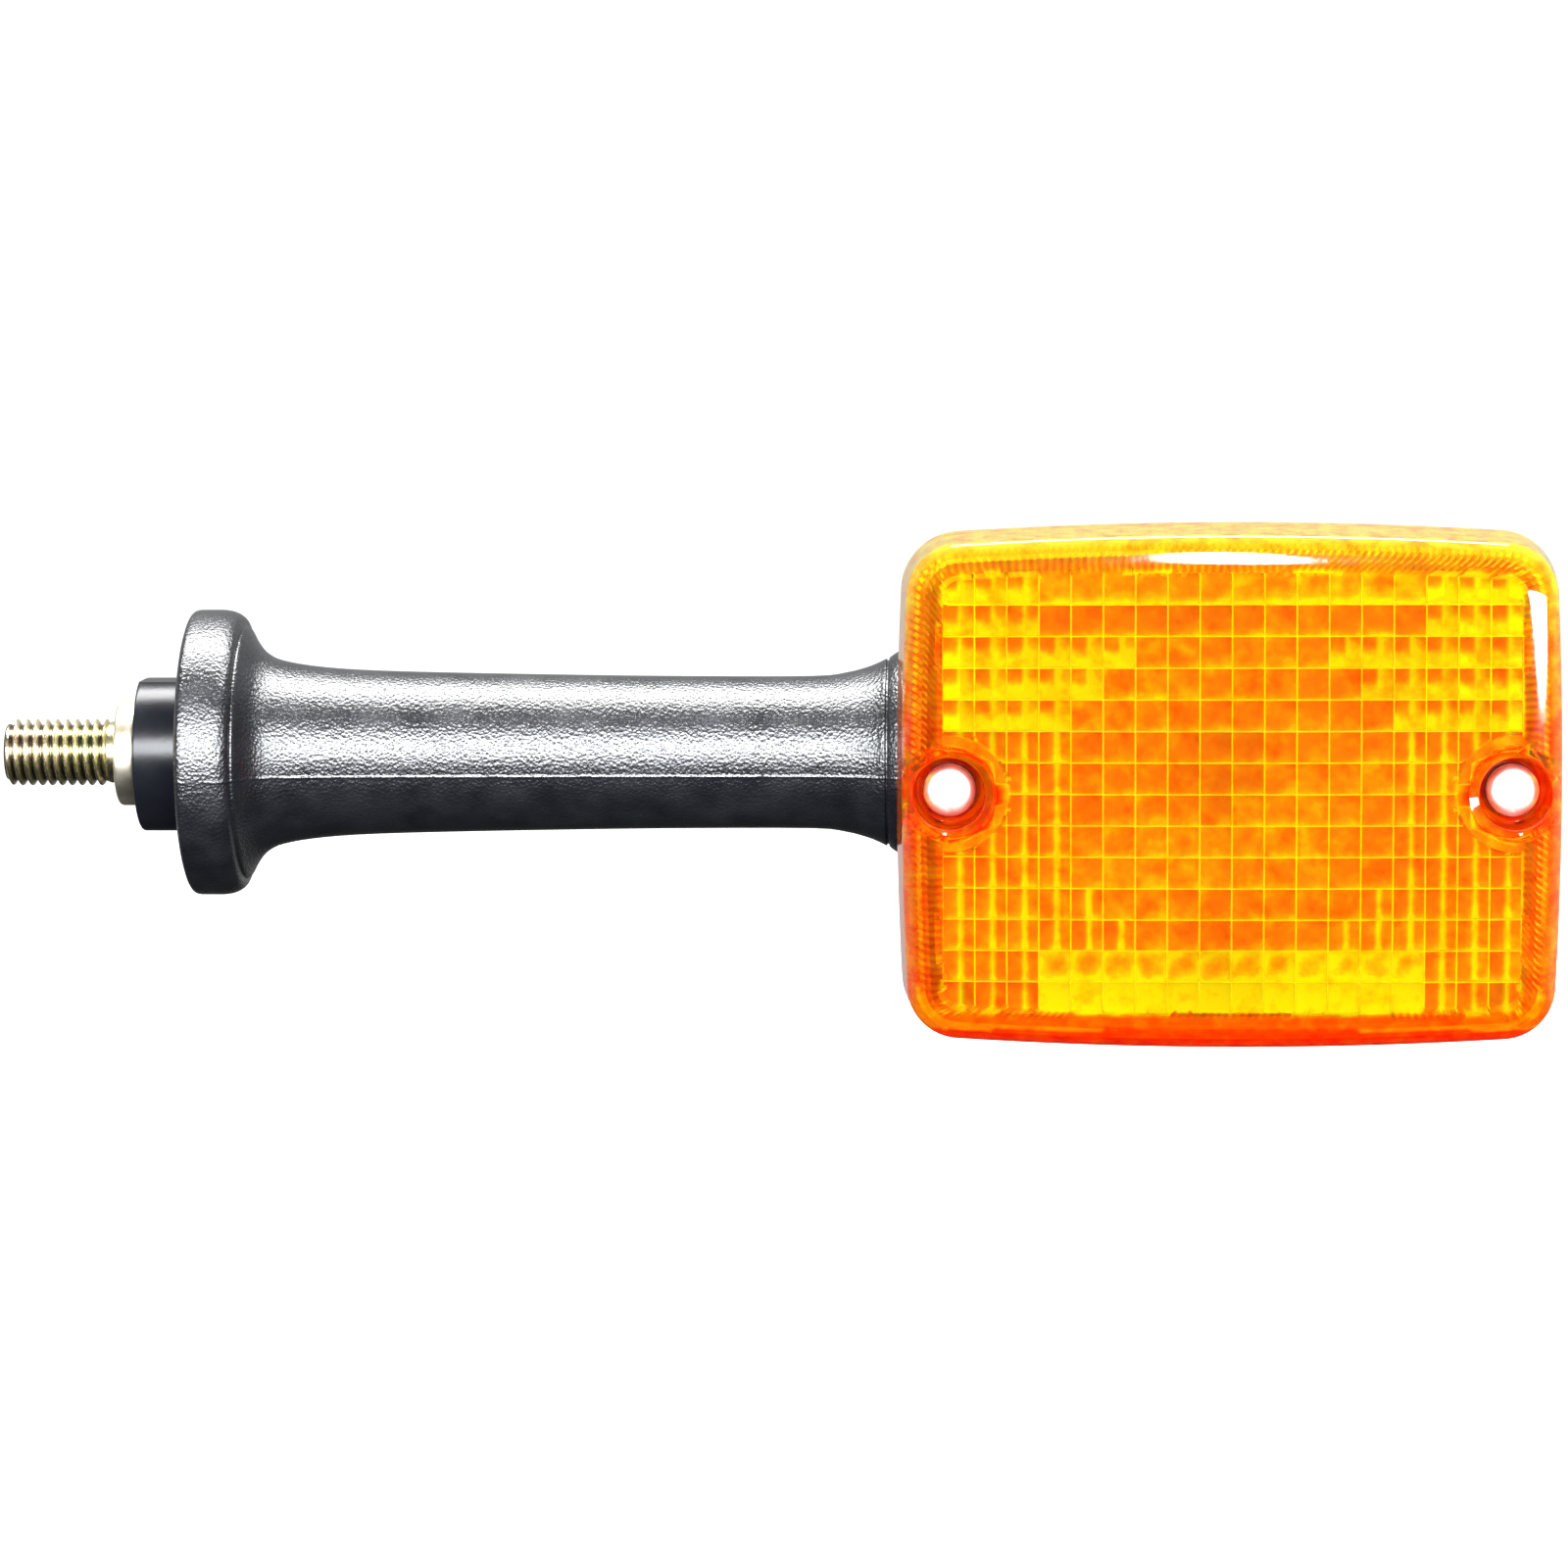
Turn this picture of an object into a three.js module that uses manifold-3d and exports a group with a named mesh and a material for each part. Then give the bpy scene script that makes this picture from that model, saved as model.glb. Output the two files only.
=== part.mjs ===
// Motorcycle turn signal indicator: a rectangular amber lamp on a flexible rubber stem with a threaded stud.
// Millimetres. The origin is the centre of the flange's bracket face, +X runs along the stem to the lamp,
// the lens faces -Y and +Z is up.
import * as THREE from "three";
import { mergeVertices } from "three/addons/utils/BufferGeometryUtils.js";
import Module from "manifold-3d";

const wasm = await Module();
wasm.setup();

// ---- driving dimensions ----
const GAP = 0.3; // between pieces that touch or nest
const LAMP_X = 154.5; // lamp centre along the stem
const LAMP_Z = -3; // lamp centre below the stem's axis

const STUD = { tip: -28, threadStart: -12.6, radius: 5, pitch: 1.5, bore: 3.2, headRadius: 8, headEnd: 8.8 };
const COLLAR = { back: -11, front: -7.8, radius: 8, edge: 0.8 };
const BOSS = { back: -7.5, front: 0.2, radius: 11.8, flat: 10.9, hole: 5.3 };
const PLATE = { back: 2.5, front: 5, radius: 15.5 };
const STEM = { end: 104.5, endRadius: 14, hole: 5.3, seatRadius: 12.1, seatDepth: 0.5 };
const INSERT = { back: 96.5, front: 99.5, radius: 9.5, stud: 5, tip: 116.5 };
const STEM_NUT = { back: 109.2, front: 114.2, radius: 8.1 };
const STEM_WASHER = { back: 107.7, front: 108.9, radius: 9 };
const LEAD = { radius: 0.8, offset: 1.35, start: -26.5 };

const LENS = { width: 97, height: 76.5, rim: -16, front: -36, wall: 2.4, draft: 1, edge: 5, crown: 1.6 };
const OUTLINE = { corner: 8.8, bowSide: 0.75, bowTop: 1.35, cornerSteps: 3, sideSteps: 3 };
const WELL = { x: 40.5, bore: 5.2, outer: 6.6, floorFront: -25.2, floorBack: -23.6, hole: 2.4 };
const LENS_SCREW = { head: 3.8, headTop: -29, headBase: -26.6, shank: 2, length: 12 };
const SEAL = { inner: 2.35, outer: 3.9, front: -26.3, back: -25.5 };

const GASKET = { front: -15.7, back: -14.1, inset: 0.7, width: 3.9 };
const HOUSING = { rim: -13.8, back: 36, wall: 2.5, inset: 0.5, ledge: -12.1, ledgeInset: 4.9 };
const PILLAR = { radius: 4.6, top: -23.3, end: -9.8, hole: 2.3, holeEnd: -11.2 };
const SEAT = { radius: 13.4, face: 104.8, floor: 107.4, pocket: 9.6 };
const REFLECTOR = { front: -13.8, back: -12.4, inset: 3.4, wall: 1.4, floor: 5.5, throat: 10.5, hole: 9 };
const BOWL = { halfWidth: 36, halfHeight: 31.2, corner: 9 };

const SOCKET = { inner: 7.8, outer: 8.4, front: 2, end: 28.3, hole: 2.5 };
const SLOT = { front: 7.7, back: 11.9, width: 3, turn: 20 }; // the pins' windows; turn in degrees
const BRACKET = { front: 11.5, back: 12.9, halfLength: 26, halfHeight: 7, hole: 8.7, screwX: 20 };
const POST = { radius: 4.2, top: 13.3, hole: 1.8, holeEnd: 22 };
const BRACKET_SCREW = { head: 3.2, headHeight: 2.3, shank: 1.5, length: 9 };
const GROUND_TAB = { front: 10.4, back: 11.2, ring: 3.4, reach: 6 };
const CONTACT = { disc: 7.4, discFront: 19.8, discBack: 21.8, tip: 18.4, tail: 22.9 };
const SPRING = { radius: 5.4, wire: 0.45, front: 22.6, back: 27.2, turns: 3.5 };

const BULB = { base: 7.5, baseFront: 1, baseBack: 16.5, pinY: 9, pinRadius: 1, glass: 12.5, neck: 6.6 };
const GLASS = { centre: -17.5, wall: 0.8, neckEnd: 5.5 };
const FILAMENT = { y: -22, span: 3.6, radius: 0.45, wire: 0.35 };

// ---- solids ----
function solidOf(geometry) {
  const bare = geometry.clone();
  bare.deleteAttribute("normal");
  bare.deleteAttribute("uv");
  const merged = mergeVertices(bare, 1e-4);
  return new wasm.Manifold(
    new wasm.Mesh({
      numProp: 3,
      vertProperties: new Float32Array(merged.attributes.position.array),
      triVerts: new Uint32Array(merged.index.array),
    }),
  );
}

function geometryOf(solid) {
  const mesh = solid.getMesh();
  const geometry = new THREE.BufferGeometry();
  geometry.setAttribute("position", new THREE.BufferAttribute(mesh.vertProperties, 3));
  geometry.setIndex(new THREE.BufferAttribute(mesh.triVerts, 1));
  geometry.computeVertexNormals();
  return geometry;
}

const cut = (body, ...tools) =>
  geometryOf(tools.reduce((solid, tool) => solid.subtract(solidOf(tool)), solidOf(body)));
const join = (body, ...tools) =>
  geometryOf(tools.reduce((solid, tool) => solid.add(solidOf(tool)), solidOf(body)));
const common = (a, b) => geometryOf(solidOf(a).intersect(solidOf(b)));

// A solid of revolution about Y, from [radius, y] pairs going up its outer side.
function turned(profile, segments = 22) {
  return new THREE.LatheGeometry(profile.map(([r, y]) => new THREE.Vector2(r, y)), segments);
}
const disc = (r, y0, y1, segments) => turned([[0, y0], [r, y0], [r, y1], [0, y1]], segments);
const ring = (inner, outer, y0, y1, segments) =>
  turned([[inner, y0], [outer, y0], [outer, y1], [inner, y1], [inner, y0]], segments);

// Turns a piece made about Y so that its axis is the stem's axis, X.
const alongStem = (geometry) => geometry.rotateZ(-Math.PI / 2);

// Moves a piece made about Y to an axis through the lamp, x and z measured from the lamp's centre.
const inLamp = (geometry, x = 0, z = 0) => geometry.translate(LAMP_X + x, 0, LAMP_Z + z);

function block(x0, x1, y0, y1, z0, z1) {
  const box = new THREE.BoxGeometry(x1 - x0, y1 - y0, z1 - z0);
  return box.translate((x0 + x1) / 2, (y0 + y1) / 2, (z0 + z1) / 2);
}

// ---- outlines, as [x, z] pairs about the lamp's centre, anticlockwise from the front ----
function bowedRectangle(halfWidth, halfHeight, corner, bowSide, bowTop) {
  const points = [];
  const { cornerSteps, sideSteps } = OUTLINE;
  const centreX = halfWidth - bowSide - corner;
  const centreZ = halfHeight - bowTop - corner;
  const signs = [[1, 1], [-1, 1], [-1, -1], [1, -1]];
  signs.forEach(([sx, sz], k) => {
    for (let i = 0; i <= cornerSteps; i++) {
      const angle = (k + i / cornerSteps) * (Math.PI / 2);
      points.push([sx * centreX + corner * Math.cos(angle), sz * centreZ + corner * Math.sin(angle)]);
    }
    const [nx, nz] = signs[(k + 1) % 4];
    const out = (k + 1) * (Math.PI / 2);
    const bow = k % 2 === 0 ? bowTop : bowSide;
    for (let i = 1; i < sideSteps; i++) {
      const t = i / sideSteps;
      const bulge = corner + bow * (1 - (2 * t - 1) ** 2);
      points.push([
        centreX * (sx + (nx - sx) * t) + bulge * Math.cos(out),
        centreZ * (sz + (nz - sz) * t) + bulge * Math.sin(out),
      ]);
    }
  });
  return points;
}

// The lamp's outline, drawn in by an inset on all sides.
function lampOutline(inset) {
  const { corner, bowSide, bowTop } = OUTLINE;
  return bowedRectangle(LENS.width / 2 - inset, LENS.height / 2 - inset,
    Math.max(corner - inset, 2.5), bowSide, bowTop);
}
const scaled = (outline, s) => outline.map(([x, z]) => [x * s, z * s]);

// A solid through outlines at rising y, closed at both ends.
function loft(layers) {
  const n = layers[0].outline.length;
  const positions = [];
  const triangles = [];
  for (const { outline, y } of layers) {
    for (const [x, z] of outline) positions.push(LAMP_X + x, y, LAMP_Z + z);
  }
  const frontCentre = positions.length / 3;
  const backCentre = frontCentre + 1;
  positions.push(LAMP_X, layers[0].y, LAMP_Z, LAMP_X, layers.at(-1).y, LAMP_Z);
  for (let i = 0; i < n; i++) {
    const j = (i + 1) % n;
    for (let k = 0; k + 1 < layers.length; k++) {
      const [a, b, c, d] = [k * n + i, k * n + j, (k + 1) * n + j, (k + 1) * n + i];
      triangles.push(a, d, c, a, c, b);
    }
    const last = (layers.length - 1) * n;
    triangles.push(frontCentre, i, j, backCentre, last + j, last + i);
  }
  const geometry = new THREE.BufferGeometry();
  geometry.setAttribute("position", new THREE.Float32BufferAttribute(positions, 3));
  geometry.setIndex(triangles);
  return geometry;
}

// ---- lens ----
// The lens's outer form, or its inner one when drawn in by the wall: crowned front, rounded edge, drafted sides.
function lensForm(wall, rim) {
  const edge = LENS.edge - wall / 2;
  const front = LENS.front + wall;
  const inset = LENS.draft + wall;
  const layers = [0.35, 0.7].map((s) => (
    { outline: scaled(lampOutline(inset + edge), s), y: front + LENS.crown * s * s }
  ));
  const steps = 3;
  for (let i = 0; i <= steps; i++) {
    const angle = (i / steps) * (Math.PI / 2);
    layers.push({
      outline: lampOutline(inset + edge * (1 - Math.sin(angle))),
      y: front + LENS.crown + edge * (1 - Math.cos(angle)),
    });
  }
  layers.push({ outline: lampOutline(wall), y: rim });
  return loft(layers);
}

function makeLens() {
  const hollow = lensForm(LENS.wall, LENS.rim + 1);
  let shell = cut(lensForm(0, LENS.rim), hollow);
  for (const side of [-1, 1]) {
    const { bore, outer, floorFront, floorBack, hole } = WELL;
    const tube = common(inLamp(disc(outer, LENS.front, floorBack, 24), side * WELL.x), lensForm(0, LENS.rim));
    const well = inLamp(disc(bore, LENS.front - 1, floorFront, 24), side * WELL.x);
    const screwHole = inLamp(disc(hole, floorFront - 1, floorBack + 1, 20), side * WELL.x);
    shell = cut(join(shell, tube), well, screwHole);
  }
  return shell;
}

// ---- housing, gasket and reflector ----
function housingForm(layers) {
  return loft(layers.map(([inset, y]) => ({ outline: lampOutline(inset), y })));
}

function makeHousing() {
  const { rim, back, wall, inset, ledge, ledgeInset } = HOUSING;
  // [inset from the lamp's outline, y], from the rim to the back
  const outer = housingForm([
    [inset, rim], [inset + 0.3, rim + 4], [inset + 2.4, 8], [inset + 4.6, 18], [inset + 7.6, 25.5],
    [inset + 11.6, 31], [inset + 16.6, 34.6], [inset + 23, back],
  ]);
  const hollow = housingForm([
    [inset + wall, rim - 1], [inset + wall, ledge], [ledgeInset, ledge], [ledgeInset + 1, 8],
    [ledgeInset + 3, 18], [ledgeInset + 6, 25], [ledgeInset + 10.4, 30], [ledgeInset + 17, back - wall],
  ]);
  const seat = alongStem(disc(SEAT.radius, SEAT.face, SEAT.floor + 5, 32));
  const pocket = alongStem(disc(SEAT.pocket, SEAT.floor, SEAT.floor + 8, 28));
  const stemHole = alongStem(disc(STEM.hole, SEAT.face - 1, SEAT.floor + 1, 24));
  let shell = cut(join(outer, seat), hollow, pocket, stemHole);
  for (const side of [-1, 1]) {
    const pillar = inLamp(disc(PILLAR.radius, PILLAR.top, PILLAR.end, 24), side * WELL.x);
    const screwHole = inLamp(disc(PILLAR.hole, PILLAR.top - 1, PILLAR.holeEnd, 20), side * WELL.x);
    const post = inLamp(disc(POST.radius, POST.top, back - 1, 20), side * BRACKET.screwX);
    const postHole = inLamp(disc(POST.hole, POST.top - 1, POST.holeEnd, 16), side * BRACKET.screwX);
    shell = cut(join(shell, pillar, post), screwHole, postHole);
  }
  return shell;
}

function makeGasket() {
  const { front, back, inset, width } = GASKET;
  const outer = housingForm([[inset, front], [inset, back]]);
  const inner = housingForm([[inset + width, front - 1], [inset + width, back + 1]]);
  const room = (side) => inLamp(disc(PILLAR.radius + GAP, front - 1, back + 1, 24), side * WELL.x);
  return cut(outer, inner, room(-1), room(1));
}

// One side of the reflector's bowl, from its mouth (t = 0) to its throat (t = 1).
function bowlForm(grow, start) {
  const { halfWidth, halfHeight, corner } = BOWL;
  const mouth = bowedRectangle(halfWidth + grow, halfHeight + grow, corner + grow, 0.5, 1);
  const steps = 5;
  const layers = [{ outline: mouth, y: start }];
  for (let i = 0; i <= steps; i++) {
    const t = i / steps;
    const throat = REFLECTOR.throat + grow;
    const outline = mouth.map(([x, z]) => {
      const r = Math.hypot(x, z);
      return [x + ((throat * x) / r - x) * t, z + ((throat * z) / r - z) * t];
    });
    const depth = REFLECTOR.floor - REFLECTOR.front;
    layers.push({ outline, y: REFLECTOR.front + 0.2 + depth * (1 - (1 - t) ** 2) + grow });
  }
  return loft(layers);
}

function makeReflector() {
  const { front, back, inset, wall, floor, hole } = REFLECTOR;
  const flange = housingForm([[inset, front], [inset, back]]);
  const body = join(flange, bowlForm(wall, front + 0.1));
  const tools = [bowlForm(0, front - 1), inLamp(disc(hole, floor - 3, floor + 5, 28))];
  for (const side of [-1, 1]) {
    const room = PILLAR.radius + GAP;
    const inner = LAMP_X + side * WELL.x;
    const outer = LAMP_X + side * (LENS.width / 2 + 1);
    tools.push(inLamp(disc(room, front - 1, -9, 24), side * WELL.x));
    tools.push(block(Math.min(inner, outer), Math.max(inner, outer), front - 1, back + 1,
      LAMP_Z - room, LAMP_Z + room));
  }
  return cut(body, ...tools);
}

// ---- stud, boss and stem ----
// A bar with a helical thread about Y: each turn's strip runs root, crest, crest, root.
function threadedBar(radius, pitch, y0, y1, segments) {
  const depth = 0.6134 * pitch;
  const strip = [[0, 1], [0.12, 1], [0.5, 0], [0.62, 0]]; // [share of the pitch, share of the depth]
  const turns = Math.ceil((y1 - y0) / pitch) + 1;
  const rows = turns * strip.length;
  const positions = [];
  for (let row = 0; row < rows; row++) {
    const [shift, sunk] = strip[row % strip.length];
    const turn = Math.floor(row / strip.length);
    for (let j = 0; j < segments; j++) {
      const angle = (j / segments) * 2 * Math.PI;
      const r = radius - depth * sunk;
      const y = y0 + pitch * (turn - 1 + shift + j / segments);
      positions.push(r * Math.sin(angle), y, r * Math.cos(angle));
    }
  }
  const low = positions.length / 3;
  positions.push(0, y0 - 1.5 * pitch, 0, 0, y1 + 2.5 * pitch, 0);
  const at = (row, j) => (j < segments ? row * segments + j : (row + strip.length) * segments);
  const triangles = [];
  const last = rows - strip.length - 1;
  for (let j = 0; j < segments; j++) {
    for (let row = 0; row < last; row++) {
      const [a, b, c, d] = [at(row, j), at(row, j + 1), at(row + 1, j + 1), at(row + 1, j)];
      triangles.push(a, b, c, a, c, d);
    }
    triangles.push(low, at(0, j + 1), at(0, j), low + 1, at(last, j), at(last, j + 1));
  }
  for (let row = 0; row < strip.length; row++) {
    triangles.push(low, at(row, 0), at(row + 1, 0), low + 1, at(last + row + 1, 0), at(last + row, 0));
  }
  const geometry = new THREE.BufferGeometry();
  geometry.setAttribute("position", new THREE.Float32BufferAttribute(positions, 3));
  geometry.setIndex(triangles);
  return geometry;
}

function makeStud() {
  const { tip, threadStart, radius, pitch, bore, headRadius, headEnd } = STUD;
  const chamfer = 0.8;
  const envelope = turned([
    [0, tip], [radius - chamfer, tip], [radius, tip + chamfer], [radius, threadStart], [0, threadStart],
  ], 14);
  const thread = common(threadedBar(radius, pitch, tip, threadStart, 14), envelope);
  const neck = disc(radius - 0.4, threadStart - 0.5, PLATE.front + 1, 20);
  const head = disc(headRadius, PLATE.front + GAP, headEnd, 28);
  return alongStem(cut(join(neck, thread, head), disc(bore, tip - 1, headEnd + 1, 20)));
}

function makeCollar() {
  const { back, front, radius, edge } = COLLAR;
  return alongStem(turned([
    [BOSS.hole, back], [radius - edge, back], [radius, back + edge], [radius, front - edge],
    [radius - edge, front], [BOSS.hole, front], [BOSS.hole, back],
  ]));
}

// D-shaped boss that keys into the bracket: a disc with one flat on top.
function makeBoss() {
  const half = Math.acos(BOSS.flat / BOSS.radius);
  const shape = new THREE.Shape();
  shape.absarc(0, 0, BOSS.radius, Math.PI + half, 3 * Math.PI - half, false);
  shape.closePath();
  const hole = new THREE.Path();
  hole.absarc(0, 0, BOSS.hole, 0, 2 * Math.PI, true);
  shape.holes.push(hole);
  const body = new THREE.ExtrudeGeometry(shape, {
    depth: BOSS.front - BOSS.back,
    bevelEnabled: false,
    curveSegments: 24,
  });
  return body.rotateY(Math.PI / 2).translate(BOSS.back, 0, 0);
}

// Rubber moulding: flange with a shallow seat for the boss, flared shaft and end lip, hollow for the bonded
// metal inserts and the leads.
function makeStem() {
  const { end, endRadius, hole, seatRadius, seatDepth } = STEM;
  const outside = [
    [19.9, 0], [21, 0.45], [21.4, 1.5], [21.4, 4], [20.5, 6.6], [19.8, 7.5], [18.4, 8.2], [17.2, 8.5],
    [16.8, 9], [15.4, 9.9], [14.6, 11], [13.6, 13.6], [12.9, 18], [12.4, 25], [12, 37], [11.6, 58],
    [11.4, 75], [11.4, 95], [11.9, 100.6], [12.8, 102.4], [13.6, 103.2], [endRadius, 103.8],
  ];
  const inside = [
    [hole, end], [hole, INSERT.front + GAP], [INSERT.radius + GAP, INSERT.front + GAP],
    [INSERT.radius + GAP, INSERT.back - GAP], [STUD.bore, INSERT.back - GAP],
    [STUD.bore, STUD.headEnd + GAP], [STUD.headRadius + GAP, STUD.headEnd + GAP],
    [STUD.headRadius + GAP, PLATE.front + GAP], [PLATE.radius + GAP, PLATE.front + GAP],
    [PLATE.radius + GAP, PLATE.back - GAP], [hole, PLATE.back - GAP], [hole, seatDepth],
    [seatRadius, seatDepth], [seatRadius, 0],
  ];
  return alongStem(turned([...outside, [endRadius, end], ...inside, outside[0]], 24));
}

function makeInsert() {
  const { back, front, radius, stud, tip } = INSERT;
  return alongStem(turned([
    [STUD.bore, back], [radius, back], [radius, front], [stud, front], [stud, tip],
    [STUD.bore, tip], [STUD.bore, back],
  ], 24));
}

function makeStemNut() {
  const { back, front, radius } = STEM_NUT;
  const hexagon = new THREE.CylinderGeometry(radius, radius, front - back, 6);
  hexagon.translate(0, (front + back) / 2, 0);
  return alongStem(cut(hexagon, disc(INSERT.stud + GAP, back - 1, front + 1, 24)));
}

// Rubber plug in the stud's mouth, with one hole for each lead.
function makeGrommet() {
  const [start, end] = [STUD.tip + 0.6, STUD.tip + 6];
  const hole = (side) => disc(LEAD.radius + 0.25, start - 1, end + 1, 12).translate(0, 0, side * LEAD.offset);
  return alongStem(cut(disc(STUD.bore - GAP, start, end, 20), hole(-1), hole(1)));
}

// ---- leads and spring ----
function tubeAlong(points, radius, steps, sides) {
  const circle = new THREE.Shape();
  for (let i = 0; i < sides; i++) {
    const angle = (i / sides) * 2 * Math.PI;
    const [x, y] = [radius * Math.cos(angle), radius * Math.sin(angle)];
    if (i) circle.lineTo(x, y);
    else circle.moveTo(x, y);
  }
  const path = new THREE.CatmullRomCurve3(points.map((p) => new THREE.Vector3(...p)));
  return new THREE.ExtrudeGeometry(circle, { steps, extrudePath: path, bevelEnabled: false });
}

// Both leads lie side by side in the bore, then part inside the housing.
const stemRun = (z) => [[LEAD.start, 0, z], [0, 0, z], [50, 0, z], [90, 0, z], [112, 0, z], [117.5, 0.6, z]];

function makeHotLead() {
  const tail = [
    [122, 5, 3.5], [126, 11, 7], [133, 20, 8.5], [142, 27.5, 6.5], [149, 31.2, 2.5], [153.2, 31.8, -1.4],
    [LAMP_X, 29.6, LAMP_Z], [LAMP_X, 26.5, LAMP_Z], [LAMP_X, CONTACT.tail + 0.4, LAMP_Z],
  ];
  return tubeAlong([...stemRun(LEAD.offset), ...tail], LEAD.radius, 48, 6);
}

function makeGroundLead() {
  const tail = [[121, 4.2, -2], [123.5, 7.8, -2.7], [126, 10.2, LAMP_Z], [128.2, 10.8, LAMP_Z]];
  return tubeAlong([...stemRun(-LEAD.offset), ...tail], LEAD.radius, 36, 6);
}

function makeSpring() {
  const { radius, wire, front, back, turns } = SPRING;
  const points = [];
  const perTurn = 10;
  const count = turns * perTurn;
  for (let i = 0; i <= count; i++) {
    const angle = (i / perTurn) * 2 * Math.PI;
    const y = front + wire + ((back - front - 2 * wire) * i) / count;
    points.push([LAMP_X + radius * Math.cos(angle), y, LAMP_Z + radius * Math.sin(angle)]);
  }
  return tubeAlong(points, wire, count, 5);
}

// ---- socket ----
// A window for one bayonet pin: an entry slot from the socket's mouth and the turn beyond it.
function pinWindow(side) {
  const { front, back, width, turn } = SLOT;
  const piece = (from, to, y0, y1) => {
    const [start, stop] = [from, to].map(THREE.MathUtils.degToRad);
    const reach = SOCKET.outer + 1;
    const shape = new THREE.Shape();
    shape.moveTo(0, 0);
    shape.lineTo(reach * Math.cos(start), reach * Math.sin(start));
    shape.absarc(0, 0, reach, start, stop, false);
    shape.closePath();
    const sector = new THREE.ExtrudeGeometry(shape, { depth: y1 - y0, bevelEnabled: false, curveSegments: 6 });
    return sector.rotateX(Math.PI / 2).translate(0, y1, 0);
  };
  const half = THREE.MathUtils.radToDeg(width / 2 / SOCKET.outer);
  const centre = side > 0 ? 90 : 270;
  const entry = piece(centre + turn - half, centre + turn + half, SOCKET.front - 1, back);
  const sweep = piece(centre - half, centre + turn + half, front, back);
  return join(sweep, entry);
}

function makeSocketShell() {
  const { inner, outer, front, end, hole } = SOCKET;
  const wall = outer - inner;
  const tube = turned([
    [inner, front], [outer, front], [outer, end], [hole, end], [hole, end - wall], [inner, end - wall],
    [inner, front],
  ], 36);
  const core = disc(inner - 0.6, front - 2, end - 3, 20);
  const windows = [1, -1].map((side) => cut(pinWindow(side), core));
  return inLamp(cut(tube, ...windows));
}

function makeBracket() {
  const { front, back, halfLength, halfHeight, hole, screwX } = BRACKET;
  const plate = block(-halfLength, halfLength, front, back, -halfHeight, halfHeight);
  const rim = disc(hole + 2.5, front, back, 28);
  const holes = [disc(hole, front - 1, back + 1, 36)];
  for (const side of [-1, 1]) {
    holes.push(disc(POST.hole, front - 1, back + 1, 16).translate(side * screwX, 0, 0));
  }
  return inLamp(cut(join(plate, rim), ...holes));
}

function panScrew(headTop, headRadius, headHeight, shankRadius, length, segments) {
  const base = headTop + headHeight;
  const screw = turned([
    [0, headTop], [headRadius * 0.62, headTop], [headRadius, headTop + headHeight * 0.45],
    [headRadius, base], [shankRadius, base], [shankRadius, base + length], [0, base + length],
  ], segments);
  const slotDepth = headHeight * 0.55;
  const reach = headRadius * 0.55;
  const across = block(-reach, reach, headTop - 1, headTop + slotDepth, -0.5, 0.5);
  const upright = block(-0.5, 0.5, headTop - 1, headTop + slotDepth, -reach, reach);
  return cut(screw, across, upright);
}

function makeLensScrew(side) {
  const { head, headTop, headBase, shank, length } = LENS_SCREW;
  return inLamp(panScrew(headTop, head, headBase - headTop, shank, length, 24), side * WELL.x);
}

function makeBracketScrew(side) {
  const { head, headHeight, shank, length } = BRACKET_SCREW;
  const seat = side < 0 ? GROUND_TAB.front : BRACKET.front;
  return inLamp(panScrew(seat - GAP - headHeight, head, headHeight, shank, length, 20),
    side * BRACKET.screwX);
}

function makeGroundTab() {
  const { front, back, ring: radius, reach } = GROUND_TAB;
  const eye = disc(radius, front, back, 20);
  const tongue = block(-reach, 0, front, back, -1.6, 1.6);
  const hole = disc(POST.hole, front - 1, back + 1, 16);
  return inLamp(cut(join(eye, tongue), hole).translate(-BRACKET.screwX, 0, 0));
}

function makeContactTip() {
  const { tip, discFront, discBack, tail } = CONTACT;
  return inLamp(turned([
    [0, tip], [1.4, tip], [2.2, tip + 0.5], [2.2, discFront - GAP], [1.2, discFront - GAP],
    [1.2, discBack + GAP], [2, discBack + GAP], [2, tail], [0, tail],
  ], 20));
}

// ---- bulb ----
function makeBulbBase() {
  const { base, baseFront, baseBack } = BULB;
  return inLamp(turned([
    [base - 0.4, baseFront], [base, baseFront], [base, baseBack - 0.8], [base - 0.6, baseBack],
    [base - 0.9, baseBack], [base - 0.4 - 0.2, baseBack - 1], [base - 0.4, baseBack - 1.6],
    [base - 0.4, baseFront],
  ]));
}

function makeBulbContact() {
  const start = BULB.baseBack + GAP;
  return inLamp(turned([[0, start], [2.3, start], [2, start + 0.9], [1, start + 1.3], [0, start + 1.3]], 16));
}

function makeBulbPin(side) {
  const { base, pinRadius, pinY } = BULB;
  const pin = new THREE.CylinderGeometry(pinRadius, pinRadius, 1.1, 16);
  return inLamp(pin.rotateX(Math.PI / 2).translate(0, pinY, side * (base + GAP + 0.55)));
}

function makeGlass() {
  const { glass, neck } = BULB;
  const { centre, wall, neckEnd } = GLASS;
  const arc = (radius, from, to, steps) => Array.from({ length: steps + 1 }, (_, i) => {
    const angle = from + ((to - from) * i) / steps;
    return [Math.max(0, radius * Math.cos(angle)), centre + radius * Math.sin(angle)];
  });
  const outer = arc(glass, -Math.PI / 2, Math.PI / 5, 8);
  const inner = arc(glass - wall, Math.PI / 5, -Math.PI / 2, 8);
  const shoulder = [[8.4, centre + 10.5], [neck + 0.3, centre + 13.5], [neck, centre + 16.5]];
  const inside = shoulder.map(([r, y]) => [r - wall, y]).reverse();
  return inLamp(turned([
    ...outer, ...shoulder, [neck, neckEnd], [neck - wall, neckEnd], ...inside, ...inner,
  ], 22));
}

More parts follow.
